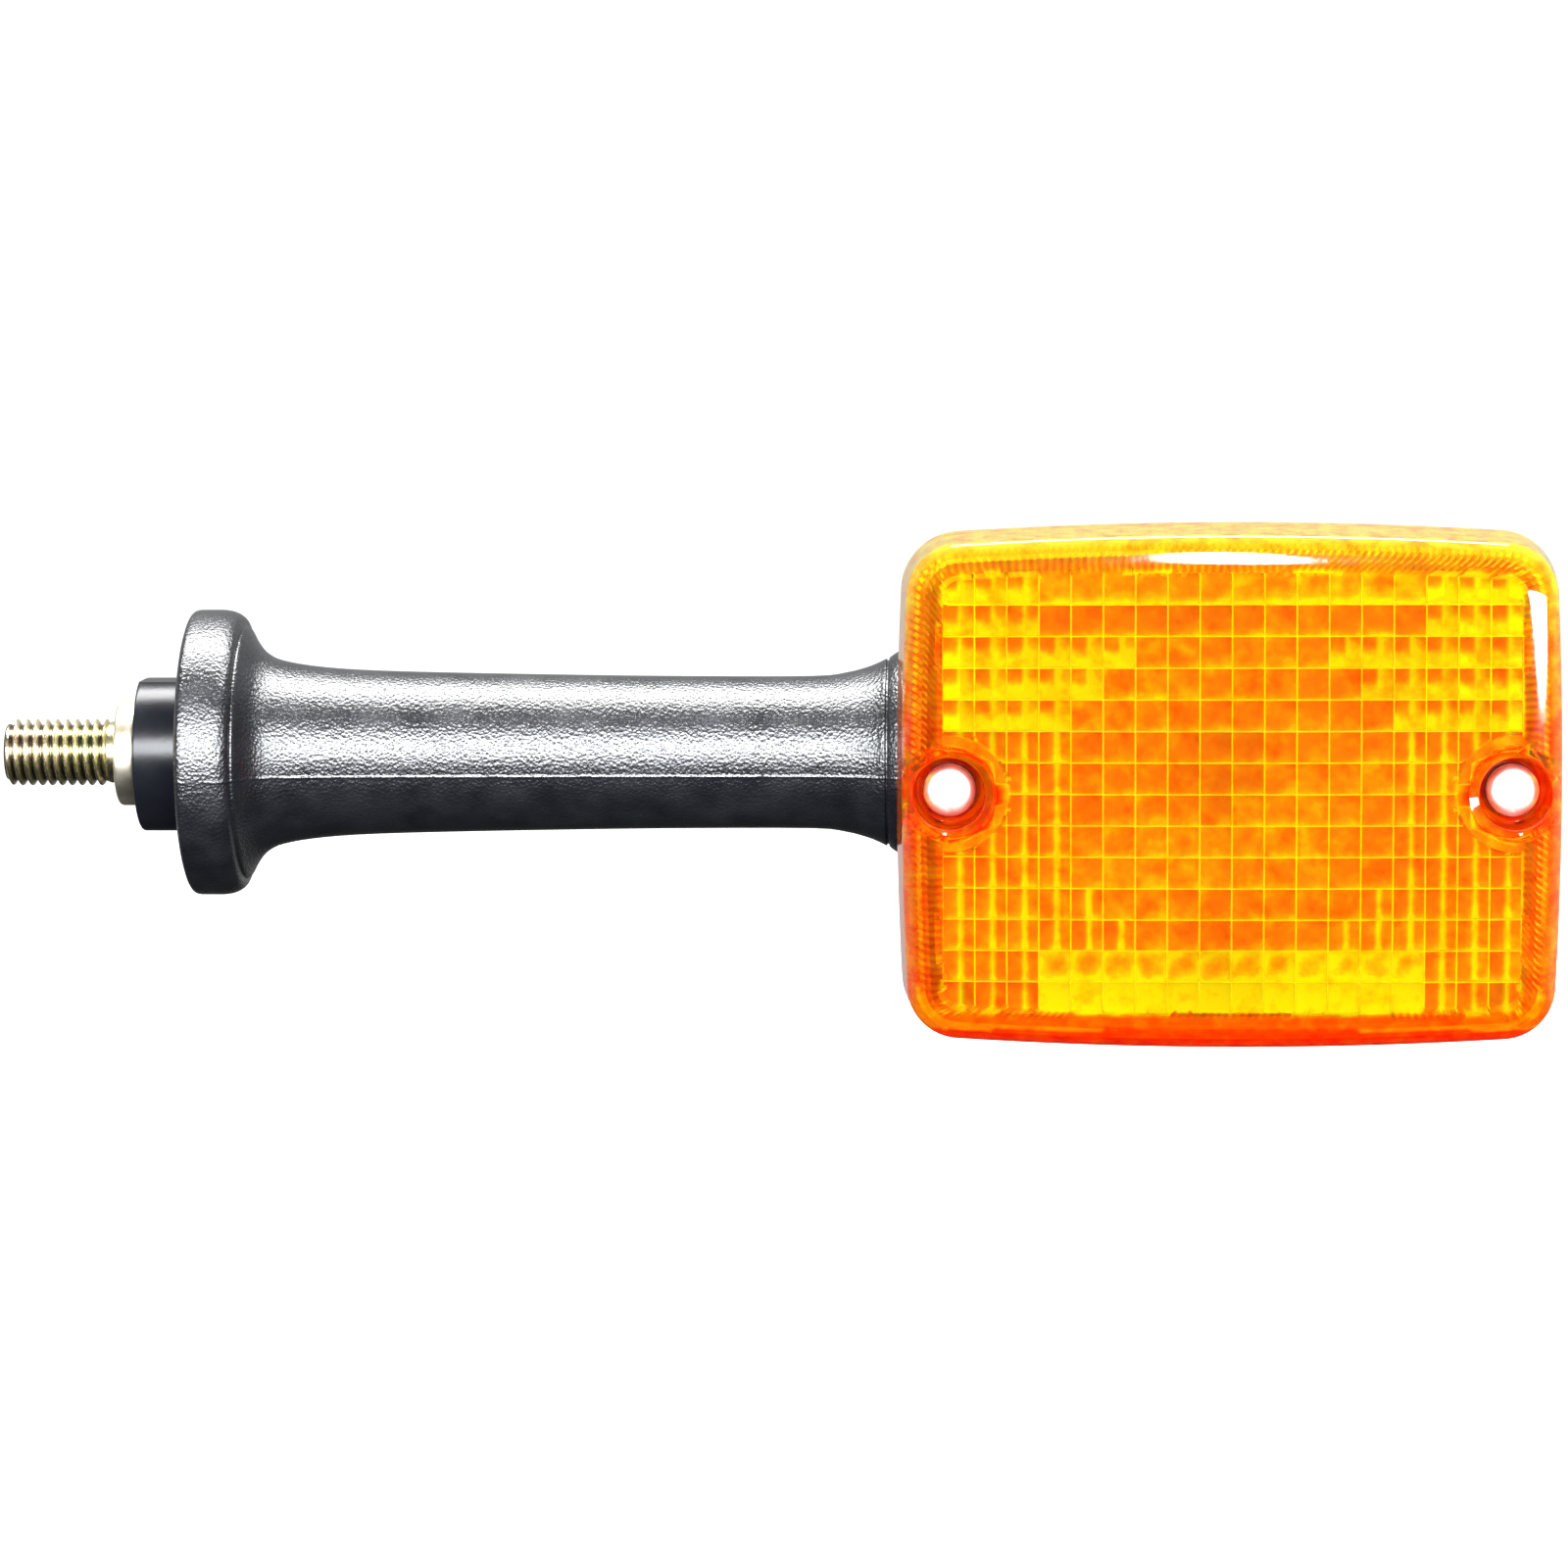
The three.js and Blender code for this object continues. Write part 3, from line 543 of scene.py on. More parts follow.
def inner_tone_with_painted_light_and_shade():
    """The inside: cells, smooth rings round the wells, ribs whose tone rises and falls rib by rib, painted
    light paling the ribs towards the rim and the top, and painted shade deepening the bottom band.
    """
    count = RIB_COUNT * POINTS_PER_RIB
    ribs = KDTree(count)
    for i, (x, z) in enumerate(outline(LENS_DRAFT + LENS_WALL + 1.5, count)):
        ribs.insert((x, z, 0), i)
    ribs.balance()

    def tone(x, y, z):
        if abs(x) < CELL_WIDTH * COLUMNS / 2 and abs(z) < CELL_HEIGHT * ROWS / 2:
            if math.hypot(abs(x) - WELL_X, z) < WELL_RING + 0.05:
                return 0.5, 0.3, 0.66
            return cell_tone_with_painted_light_and_shade(x, z), 0.34, 0.64
        # painted shade: the bottom band inside is given a deep orange tone
        if z < 6 - HALF_HEIGHT:
            return 0.28, 0.14, 0.5
        wave = math.cos(ribs.find((x, z, 0))[1] / POINTS_PER_RIB * 2 * math.pi)
        # yellower towards the top, with painted light paling the ribs near the rim, strongest along the top
        top = eased(z, 12, HALF_HEIGHT - 6)
        painted_rim_light = eased(y, LENS_FRONT + 6, LENS_FRONT + 10) * (0.25 + 0.75 * top)
        return 0.22 + 0.12 * top + 0.26 * wave + painted_rim_light * (0.5 + 0.05 * wave), 0.28, 0.72
    return tone


def make_lens():
    body = cut(tint(lens_outer(), outer_tone_with_painted_shade), tint(lens_hollow(), inner_tone_with_painted_light_and_shade()), crease=14)
    for side in (-1, 1):
        place = in_lamp(side * WELL_X)
        wall = rod("well_wall", WELL_WALL, LENS_FRONT + LENS_WALL / 2, WELL_BACK, place, 96)
        wall = combine(wall, "INTERSECT", lens_outer())
        body = join(body, tint(wall, well_tone), crease=14)
        mouth = LENS_FRONT + crown(WELL_X, 0)
        bore = turned("well_bore", [
            (0, LENS_FRONT - 2), (WELL_BORE + 1.6, LENS_FRONT - 2), (WELL_BORE + 1.6, mouth - 0.3),
            (WELL_BORE + 0.75, mouth + 0.02), (WELL_BORE + 0.3, mouth + 0.25),
            (WELL_BORE + 0.08, mouth + 0.6), (WELL_BORE, mouth + 1.2),
            (WELL_BORE - 0.12, WELL_FLOOR - 0.7), (WELL_BORE - 0.4, WELL_FLOOR - 0.15),
            (WELL_BORE - 1, WELL_FLOOR), (WELL_HOLE, WELL_FLOOR), (WELL_HOLE, WELL_BACK + 1),
            (0, WELL_BACK + 1),
        ], place, 96)
        body = cut(body, tint(bore, well_tone), crease=14)
    body.name = "lens_moulding"
    return body


# ---- materials ----
def add(tree, kind, **values):
    """A new node, with its inputs set by name."""
    node = tree.nodes.new("ShaderNode" + kind)
    for name, value in values.items():
        node.inputs[name.replace("_", " ")].default_value = value
    return node


def material(name, **values):
    result = bpy.data.materials.new(name)
    result.use_nodes = True
    tree = result.node_tree
    tree.nodes.clear()
    shader = add(tree, "BsdfPrincipled", **values)
    tree.links.new(shader.outputs[0], add(tree, "OutputMaterial").inputs[0])
    return result, tree, shader


def surface(tree, shader, colour, roughness, normal):
    for name, source in (("Base Color", colour), ("Roughness", roughness), ("Normal", normal)):
        tree.links.new(source, shader.inputs[name])


def object_place(tree):
    return add(tree, "TexCoord").outputs["Object"]


def noise(tree, size_mm, detail=3.0, stretch=(1, 1, 1)):
    mapping = add(tree, "Mapping", Scale=stretch)
    texture = add(tree, "TexNoise", Scale=1 / (size_mm * MM), Detail=detail)
    tree.links.new(object_place(tree), mapping.inputs[0])
    tree.links.new(mapping.outputs[0], texture.inputs["Vector"])
    return texture.outputs["Fac"]


def ramp(tree, value, stops):
    """Colours between the stops; a stop's colour may be one grey value."""
    node = add(tree, "ValToRGB")
    elements = node.color_ramp.elements
    while len(elements) < len(stops):
        elements.new(0.5)
    for element, (position, colour) in zip(elements, stops):
        element.position = position
        element.color = (*(colour if isinstance(colour, tuple) else (colour,) * 3), 1)
    tree.links.new(value, node.inputs[0])
    return node.outputs[0]


def spread(tree, value, low, high, start=0.3, end=0.7):
    node = add(tree, "MapRange", From_Min=start, From_Max=end, To_Min=low, To_Max=high)
    tree.links.new(value, node.inputs["Value"])
    return node.outputs[0]


def scaled(tree, value, factor):
    node = add(tree, "Math")
    node.operation = "MULTIPLY"
    tree.links.new(value, node.inputs[0])
    if isinstance(factor, float):
        node.inputs[1].default_value = factor
    else:
        tree.links.new(factor, node.inputs[1])
    return node.outputs[0]


def total(tree, *values):
    result = values[0]
    for value in values[1:]:
        node = add(tree, "Math")
        tree.links.new(result, node.inputs[0])
        tree.links.new(value, node.inputs[1])
        result = node.outputs[0]
    return result


def bump(tree, height, strength, distance, base=None):
    node = add(tree, "Bump", Strength=strength, Distance=distance * MM)
    tree.links.new(height, node.inputs["Height"])
    if base is not None:
        tree.links.new(base, node.inputs["Normal"])
    return node.outputs[0]


def moulded(name, dark, light, roughness, grain_mm, relief_mm, metallic=0.0, patch_mm=9.0, specular=0.5):
    """A finish whose colour, gloss and fine relief vary over the surface."""
    result, tree, shader = material(name, Metallic=metallic, Specular_IOR_Level=specular)
    patches = noise(tree, patch_mm, 4.0)
    surface(tree, shader, ramp(tree, patches, [(0.3, dark), (0.7, light)]),
            spread(tree, patches, roughness * 0.9, roughness * 1.12),
            bump(tree, noise(tree, grain_mm), 0.6, relief_mm))
    return result


def rubber():
    result, tree, shader = material("pebbled_rubber")
    patches = noise(tree, 6, 4.0)
    pebble = add(tree, "TexVoronoi", Scale=1 / (0.5 * MM))
    tree.links.new(object_place(tree), pebble.inputs["Vector"])
    first = bump(tree, pebble.outputs["Distance"], 1.0, 0.08)
    colour = ramp(tree, patches, [(0.3, (0.0012, 0.0013, 0.002)), (0.75, (0.003, 0.0032, 0.0042))])
    surface(tree, shader, colour, spread(tree, patches, 0.27, 0.36),
            bump(tree, noise(tree, 0.3, 2.0), 1.0, 0.055, first))
    return result


def amber():
    """Clear amber coloured from deep orange to yellow by its stored tone: the tone follows how much amber
    light crosses, with painted light and shade laid over it.
    """
    result, tree, shader = material("amber_moulding", IOR=1.49)
    thinness_and_painted_light, frost, clear = (add(tree, "Attribute") for _ in range(3))
    for node, name in ((thinness_and_painted_light, "thinness_and_painted_light"), (frost, "frost"), (clear, "clear")):
        node.attribute_name = name
    tree.links.new(clear.outputs["Fac"], shader.inputs["Transmission Weight"])
    # the stored tone carries painted light and shade as well as thickness; a noise adds random unevenness
    tone = total(tree, thinness_and_painted_light.outputs["Fac"], spread(tree, noise(tree, 2.6, 4.0), -0.19, 0.19))
    colour = ramp(tree, tone, [
        (0.0, (0.70, 0.012, 0.0)), (0.12, (0.92, 0.035, 0.0)), (0.3, (1.0, 0.085, 0.0)),
        (0.5, (1.0, 0.22, 0.0)), (0.72, (1.0, 0.60, 0.003)), (0.9, (1.0, 1.0, 0.015)),
    ])
    fine = noise(tree, 1.6)
    surface(tree, shader, colour, total(tree, frost.outputs["Fac"], spread(tree, fine, 0.0, 0.05)),
            bump(tree, fine, 0.25, 0.012))
    return result


def zinc_gold():
    """Yellow passivated zinc: gold with faint pink and green patches, with painted shade down in the thread's
    roots.
    """
    result, tree, shader = material("passivated_zinc", Metallic=1.0)
    colour = ramp(tree, noise(tree, 7, 2.0, (0.6, 1, 1)), [
        (0.3, (0.74, 0.72, 0.46)), (0.42, (0.86, 0.78, 0.46)), (0.52, (0.94, 0.84, 0.56)),
        (0.62, (0.88, 0.72, 0.54)), (0.72, (0.80, 0.74, 0.56)),
    ])
    across, radius, shaded = (add(tree, "VectorMath") for _ in range(3))
    across.operation, radius.operation, shaded.operation = "MULTIPLY", "LENGTH", "SCALE"
    across.inputs[1].default_value = (0, 1, 1)
    tree.links.new(object_place(tree), across.inputs[0])
    tree.links.new(across.outputs[0], radius.inputs[0])
    # painted shade: the colour darkens towards the thread's roots
    depth = spread(tree, radius.outputs["Value"], 0.12, 1.0,
                   (THREAD_RADIUS - 0.85) * MM, (THREAD_RADIUS - 0.2) * MM)
    tree.links.new(colour, shaded.inputs[0])
    tree.links.new(depth, shaded.inputs["Scale"])
    fine = noise(tree, 0.5)
    surface(tree, shader, shaded.outputs[0], spread(tree, fine, 0.2, 0.26), bump(tree, fine, 0.1, 0.002))
    return result


def clear_glass():
    result, tree, shader = material("bulb_glass_clear", Transmission_Weight=1.0, IOR=1.5)
    fine = noise(tree, 5, 2.0)
    surface(tree, shader, ramp(tree, fine, [(0.3, (0.95, 0.97, 0.97)), (0.7, (0.99, 0.99, 0.98))]),
            spread(tree, fine, 0.0, 0.02), bump(tree, fine, 0.2, 0.03))
    return result


RUBBER = rubber()
AMBER = amber()
GOLD = zinc_gold()
GLASS = clear_glass()
BOSS_PLASTIC = moulded("glossy_black_plastic", (0.0013, 0.0014, 0.0022), (0.0026, 0.0028, 0.004), 0.26, 0.9,
                       0.02, specular=0.15)
SHELL_PLASTIC = moulded("satin_black_plastic", (0.0032, 0.0034, 0.004), (0.0048, 0.005, 0.0056), 0.42,
                        0.35, 0.03)
SOFT_BLACK = moulded("soft_black_rubber", (0.012, 0.012, 0.013), (0.018, 0.018, 0.019), 0.6, 0.4, 0.03)
STEEL = moulded("plated_steel", (0.62, 0.64, 0.67), (0.80, 0.81, 0.83), 0.24, 0.5, 0.01, 1.0)
SCREW_STEEL = moulded("bright_zinc_screws", (0.78, 0.79, 0.82), (0.95, 0.95, 0.96), 0.34, 0.3, 0.02, 1.0, 2.5)
MILKY = moulded("pressed_glass_mount", (0.74, 0.75, 0.73), (0.90, 0.90, 0.87), 0.2, 0.8, 0.02)
CREAM_STEEL = moulded("pale_passivated_steel", (0.80, 0.70, 0.50), (0.92, 0.86, 0.72), 0.3, 0.5, 0.015,
                      1.0, 4.0)
BRASS = moulded("drawn_brass", (0.66, 0.44, 0.16), (0.82, 0.60, 0.27), 0.26, 0.4, 0.012, 1.0)
MIRROR = moulded("vacuum_metallising", (0.88, 0.88, 0.88), (0.95, 0.95, 0.94), 0.3, 4.0, 0.02, 1.0)
PHENOLIC = moulded("phenolic_board", (0.10, 0.04, 0.018), (0.17, 0.075, 0.035), 0.5, 0.5, 0.02)
TUNGSTEN = moulded("tungsten_wire", (0.16, 0.16, 0.17), (0.26, 0.26, 0.27), 0.4, 0.2, 0.01, 1.0)
RED_SLEEVE = moulded("red_wire_sleeve", (0.36, 0.02, 0.015), (0.48, 0.03, 0.02), 0.42, 0.5, 0.02)
GREEN_SLEEVE = moulded("green_wire_sleeve", (0.02, 0.13, 0.04), (0.035, 0.19, 0.06), 0.42, 0.5, 0.02)


def coat(obj, finish):
    obj.data.materials.clear()
    obj.data.materials.append(finish)


def dress(obj, name, finish, slot, *nodes):
    """Names a piece, gives it its material and has it stand for its CAD nodes."""
    obj.name = name
    coat(obj, finish)
    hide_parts(*nodes)


def piece(obj, name, finish, slot, body, *nodes):
    """A finished piece that rides on one body."""
    dress(obj, name, finish, slot, *nodes)
    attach(obj, body)
    return obj


def bending_piece(obj, name, finish, slot, node):
    """A finished piece that runs along the stem from the base to the head, with its placement baked into its
    mesh and no body to ride on.
    """
    dress(obj, name, finish, slot, node)
    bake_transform(obj)


# ---- stud, collar and boss ----
def threaded(name, radius, pitch, start, end, segments, root_share, place):
    """A rod with a right-handed helical thread, running out at both ends."""
    per_pitch = 12
    depth = 0.6134 * pitch
    rows = int(round((end - start) / pitch * per_pitch))
    points = []
    for row in range(rows + 1):
        along = start + (end - start) * row / rows
        for k in range(segments):
            angle = 2 * math.pi * k / segments
            phase = ((along - start) / pitch + k / segments) % 1.0
            wave = abs(2 * phase - 1)
            share = min(max((wave - root_share) / (0.88 - root_share), 0), 1)
            tip = min((along - start) / (0.55 * pitch), 1)
            tail = min((end - along) / (0.8 * pitch), 1)
            r = radius - depth + depth * share * tip * min(0.35 + tail, 1)
            r = min(r, radius - 0.8 + (along - start))
            points.append(place(r * math.cos(angle), r * math.sin(angle), along))
    faces = between_rings(rows + 1, segments)
    points += [place(0, 0, start), place(0, 0, end)]
    faces += [[len(points) - 2, (k + 1) % segments, k] for k in range(segments)]
    last = rows * segments
    faces += [[len(points) - 1, last + k, last + (k + 1) % segments] for k in range(segments)]
    return solid(name, points, faces, 40)


STUD_BORE = 3.2
STUD_HEAD = 8.0
STUD_HEAD_END = extent("mounting_stud")[1].x
HEAD_START = extent("flange_plate")[1].x + CLEARANCE
thread = threaded("thread", THREAD_RADIUS, THREAD_PITCH, STUD_TIP, THREAD_START + 0.4, 72, 0.14, on_stem)
neck = turned("neck", [(0, THREAD_START - 0.6), (THREAD_RADIUS - 0.75, THREAD_START - 0.6),
                       (THREAD_RADIUS - 0.4, THREAD_START + 0.3), (THREAD_RADIUS - 0.4, HEAD_START + 0.5),
                       (0, HEAD_START + 0.5)], on_stem)
head = turned("head", softened([(0, HEAD_START), (STUD_HEAD, HEAD_START), (STUD_HEAD, STUD_HEAD_END),
                                (0, STUD_HEAD_END)], 0.4, closed=False), on_stem)
bore = rod("bore", STUD_BORE, STUD_TIP - 1, STUD_HEAD_END + 1, on_stem)
stud = cut(join(thread, neck, head, crease=40), bore, crease=40)
piece(stud, "stud_zinc", GOLD, "zinc_gold", "base", "mounting_stud")

COLLAR_LOW, COLLAR_HIGH = extent("stud_collar")
COLLAR_RADIUS = COLLAR_HIGH.z
HOLE = 5.3
collar = turned("collar", softened([
    (HOLE, COLLAR_LOW.x), (COLLAR_RADIUS, COLLAR_LOW.x), (COLLAR_RADIUS, COLLAR_HIGH.x),
    (HOLE, COLLAR_HIGH.x),
], 0.7), on_stem)
piece(collar, "collar_pale", CREAM_STEEL, "zinc_gold", "base", "stud_collar")

BOSS_LOW, BOSS_HIGH = extent("key_boss")
BOSS_RADIUS = -BOSS_LOW.z


def make_boss():
    body = turned("boss", softened([(HOLE, BOSS_LOW.x), (BOSS_RADIUS, BOSS_LOW.x), (BOSS_RADIUS, BOSS_HIGH.x),
                                    (HOLE, BOSS_HIGH.x)], 0.5), on_stem, 160)
    top = block("top", (BOSS_LOW.x - 1, -20, BOSS_HIGH.z), (BOSS_HIGH.x + 1, 20, BOSS_HIGH.z + 5))
    body = cut(body, top)
    edge = body.modifiers.new("edge", "BEVEL")
    edge.width = 0.35 * MM
    edge.segments = 3
    edge.limit_method = "ANGLE"
    edge.angle_limit = math.radians(25)
    apply_modifiers(body)
    return finish_mesh(body, 30)


piece(make_boss(), "boss_plastic", BOSS_PLASTIC, "black_plastic", "base", "key_boss")


# ---- rubber stem ----
STEM_PROFILE = [  # (distance along the stem, radius)
    (0, 19.9), (0.45, 21), (1.5, 21.4), (4.6, 21.4), (6.4, 21.1), (7.6, 20.4), (8.0, 19.7), (8.15, 18.9),
    (8.55, 18.7), (9.3, 17.3), (10.4, 15.7), (11.7, 14.6), (13.6, 13.8), (18, 13.0), (25, 12.4), (37, 12.0),
    (58, 11.6), (75, 11.4), (93, 11.4), (98, 11.9), (101.2, 12.7), (103.0, 13.4), (104.0, 13.9),
    (104.25, 13.95), (104.35, 13.75), (104.6, 13.75), (104.7, 14.15), (105.4, 14.7), (106.2, 15.15),
    (106.5, 15.1),
]
SKIRT_BORE = 13.7  # the end lip reaches over the housing's seat
SKIRT_END = 106.6
INSERT_COLLAR = 99.5  # the stem insert's wide part ends here
SHAFT_LEAST = 10.5  # everything nearer to the axis is inside the stem

SEAM_Z = -2.6
SEAM_HEIGHT = 0.15


def seam_angles(radius):
    """Angles round the stem, closer together at the two parting lines."""
    radius = max(radius, 9.0)
    seam = math.acos(SEAM_Z / radius)
    reach = 0.6 / radius
    fan = [seam + step / radius for step in (-0.6, -0.38, -0.24, -0.12, 0, 0.12, 0.24, 0.38, 0.6)]
    top = list(np.linspace(0, seam - reach, 46))[:-1]
    below = list(np.linspace(seam + reach, 2 * math.pi - seam - reach, 74))[1:-1]
    return (top + fan + below + [2 * math.pi - angle for angle in reversed(fan)]
            + [2 * math.pi - angle for angle in reversed(top[1:])])


SEAT_RADIUS = BOSS_RADIUS + CLEARANCE
SEAT_DEPTH = BOSS_HIGH.x + CLEARANCE


def make_stem():
    outer = [(r, x) for x, r in curve_points(STEM_PROFILE, 3)]
    shaft = []
    for (r0, x0), (r1, x1) in zip(outer, outer[1:]):
        steps = max(1, round((x1 - x0) / 0.8))
        shaft += [(r0 + (r1 - r0) * t / steps, x0 + (x1 - x0) * t / steps) for t in range(steps)]
    radius = extent("rubber_stem")[1].z
    shaft = [(min(r, radius), x) for r, x in shaft]
    insert_low, insert_high = extent("stem_insert")
    plate_low, plate_high = extent("flange_plate")
    gap = CLEARANCE
    inside = [
        (SKIRT_BORE, SKIRT_END), (SKIRT_BORE, STEM_END), (HOLE, STEM_END), (HOLE, INSERT_COLLAR + gap),
        (insert_high.z + gap, INSERT_COLLAR + gap), (insert_high.z + gap, insert_low.x - gap),
        (STUD_BORE, insert_low.x - gap), (STUD_BORE, STUD_HEAD_END + gap),
        (STUD_HEAD + gap, STUD_HEAD_END + gap), (STUD_HEAD + gap, plate_high.x + gap),
        (plate_high.z + gap, plate_high.x + gap),
        (plate_high.z + gap, plate_low.x - gap), (HOLE, plate_low.x - gap), (HOLE, SEAT_DEPTH),
        (SEAT_RADIUS, SEAT_DEPTH), (SEAT_RADIUS, 0),
    ]
    bore = []
    for (r0, x0), (r1, x1) in zip(inside, inside[1:]):
        parts = 48 if abs(x1 - x0) > 30 else 1
        bore += [(r0 + (r1 - r0) * t / parts, x0 + (x1 - x0) * t / parts) for t in range(parts)]
    profile = shaft + bore + [inside[-1]]
    body = turned("stem", profile, on_stem, len(seam_angles(20)), 35, seam_angles)
    for vertex in body.data.vertices:
        x, y, z = vertex.co / MM
        r = math.hypot(y, z)
        on_bore = r < SHAFT_LEAST or (x > STEM_END and r < SKIRT_BORE + 0.04)
        if on_bore or not 0.5 < x < SKIRT_END - 0.6 or abs(y) < 0.6 * r:
            continue
        lumps = 0.8 + 0.2 * math.sin(x * 2.3 + 2 * math.sin(x * 0.9))
        lift = SEAM_HEIGHT * lumps * math.exp(-(((z - SEAM_Z) / 0.17) ** 2))
        scale = 1 + min(lift, max(radius - r, 0)) / r
        vertex.co = Vector((x, y * scale, z * scale)) * MM
    return finish_mesh(body, 35)


bending_piece(make_stem(), "stem_rubber", RUBBER, "black_rubber", "rubber_stem")


# ---- leads ----
LEAD_RADIUS = 0.8
LEAD_OFFSET = 1.35
LEAD_START = extent("live_lead")[0].x
CONTACT_TAIL = extent("contact_tip")[1].y


def stem_run(z):
    return [(LEAD_START, 0, z), (0, 0, z), (25, 0, z), (50, 0, z), (70, 0, z), (90, 0, z), (112, 0, z),
            (117.5, 0.6, z)]


def make_lead(points):
    return tube("lead", curve_points(points, 10), LEAD_RADIUS, 14)


bending_piece(make_lead(stem_run(LEAD_OFFSET) + [
    (122, 5, 3.5), (126, 11, 7), (133, 20, 8.5), (142, 27.5, 6.5), (149, 31.2, 2.5), (153.2, 31.8, -1.4),
    (LAMP_X, 29.6, LAMP_Z), (LAMP_X, 26.5, LAMP_Z), (LAMP_X, CONTACT_TAIL + 0.4, LAMP_Z),
]), "lead_live", RED_SLEEVE, "red_sleeve", "live_lead")
bending_piece(make_lead(stem_run(-LEAD_OFFSET) + [
    (121, 4.2, -2), (123.5, 7.8, -2.7), (126, 10.2, LAMP_Z), (128.2, 10.8, LAMP_Z),
]), "lead_ground", GREEN_SLEEVE, "green_sleeve", "ground_lead")

# ---- lens ----
lens = piece(make_lens(), "lens_amber", AMBER, "amber_lens", "lens", "lens")


# ---- housing, gasket and reflector ----
PILLAR_RADIUS = 4.6
PILLAR_FOOT = -9.8
POST_RADIUS = 4.2
POST_X = 20
POST_FRONT = 13.3
LEDGE = 1.7  # how far the reflector's seat lies behind the rim
LOOP = 288


def ring_form(name, front, back, inset, smallest=2.5):
    return loft(name, [level(outline(inset, LOOP, smallest), y) for y in (front, back)])


def shell_form(name, layers, back):
    """A closed form through (inset, y) layers, smoothed, with rounder corners towards the back."""
    levels = curve_points(layers, 5)
    return loft(name, [level(outline(max(inset, 0.5), LOOP, min(8.3, 3 + inset)), min(y, back))
                       for inset, y in levels], 32)


def make_housing():
    pillar_top, back = extent("housing")[0].y, extent("housing")[1].y
    rim = extent("reflector")[0].y
    outer = shell_form("housing", [(0.5, rim), (0.8, rim + 4), (2.9, 8), (5.1, 18), (8.1, 25.5), (12.1, 31),
                                   (17.1, 34.6), (23.5, back)], back)
    lip = [level(outline(3, LOOP), y) for y in (rim - 1, rim + LEDGE)]
    room = [level(outline(inset, LOOP, 3.0), y) for inset, y in
            [(4.9, rim + LEDGE), (5.9, 8), (7.9, 18), (10.9, 25), (15.3, 30), (21.9, back - 2.5)]]
    hollow = loft("hollow", lip + room)
    seat_profile = softened([(0, 104.8), (13.4, 104.8), (13.4, 112.4), (0, 112.4)], 0.5, closed=False)
    seat = turned("seat", seat_profile, on_stem, 128)
    pocket = rod("pocket", 9.6, 107.4, 115.4, on_stem)
    stem_hole = rod("stem_hole", HOLE, 103.8, 108.4, on_stem)
    shell = cut(join(outer, seat), hollow, pocket, stem_hole)
    for side in (-1, 1):
        pillar_place = in_lamp(side * WELL_X)
        post_place = in_lamp(side * POST_X)
        pillar = turned("pillar", softened([
            (0, pillar_top), (PILLAR_RADIUS, pillar_top), (PILLAR_RADIUS, PILLAR_FOOT), (0, PILLAR_FOOT),
        ], 0.35, closed=False), pillar_place)
        post = rod("post", POST_RADIUS, POST_FRONT, back - 1, post_place)
        screw_hole = rod("screw_hole", 2.3, pillar_top - 1, -11.2, pillar_place)
        post_hole = rod("post_hole", 1.8, POST_FRONT - 1, 22, post_place)
        shell = cut(join(shell, pillar, post), screw_hole, post_hole)
    return shell


def make_gasket():
    front, back = extent("lens_gasket")[0].y, extent("lens_gasket")[1].y
    loops = [level(outline(0.7 + edge, LOOP), y)
             for edge, y in [(0.4, front), (0.12, front + 0.12), (0, front + 0.45), (0, back - 0.45),
                             (0.12, back - 0.12), (0.4, back)]]
    body = loft("gasket", loops, 40)
    rooms = [rod("room", PILLAR_RADIUS + CLEARANCE, front - 1, back + 1, in_lamp(side * WELL_X))
             for side in (-1, 1)]
    return cut(body, ring_form("inner", front - 1, back + 1, 4.6), *rooms, crease=40)


def bowl_form(name, grow, start):
    """The reflector's bowl: a bowed rectangle at its mouth that closes to a round throat."""
    mouth = bowed_rectangle(36 + grow, 31.2 + grow, 9 + grow, 0.5, 1, LOOP)
    throat = mouth / np.linalg.norm(mouth, axis=1)[:, None] * (10.5 + grow)
    front, floor = extent("reflector")[0].y, 5.5
    loops = [level(mouth, start)]
    for t in np.arange(19) / 18:
        y = front + 0.2 + (floor - front) * (1 - (1 - t) ** 2) + grow
        loops.append(level(mouth + (throat - mouth) * t, y))
    return loft(name, loops, 40)


def make_reflector():
    front = extent("reflector")[0].y
    body = join(ring_form("flange", front, front + 1.4, 3.4), bowl_form("bowl", 1.4, front + 0.1), crease=40)
    tools = [bowl_form("inside", 0, front - 1), rod("throat", 9, 2.5, 10.5, in_lamp())]
    reach = PILLAR_RADIUS + CLEARANCE
    for side in (-1, 1):
        tools.append(rod("room", reach, front - 1, -9, in_lamp(side * WELL_X)))
        near, far = sorted((LAMP_X + side * WELL_X, LAMP_X + side * (HALF_WIDTH + 1)))
        tools.append(block("gate", (near, front - 1, LAMP_Z - reach), (far, front + 2.4, LAMP_Z + reach)))
    return cut(body, *tools, crease=40)


piece(make_housing(), "housing_shell", SHELL_PLASTIC, "black_plastic", "head", "housing")
piece(make_gasket(), "gasket_ring", SOFT_BLACK, "black_rubber", "head", "lens_gasket")
piece(make_reflector(), "reflector_bowl", MIRROR, "mirror_coat", "head", "reflector")


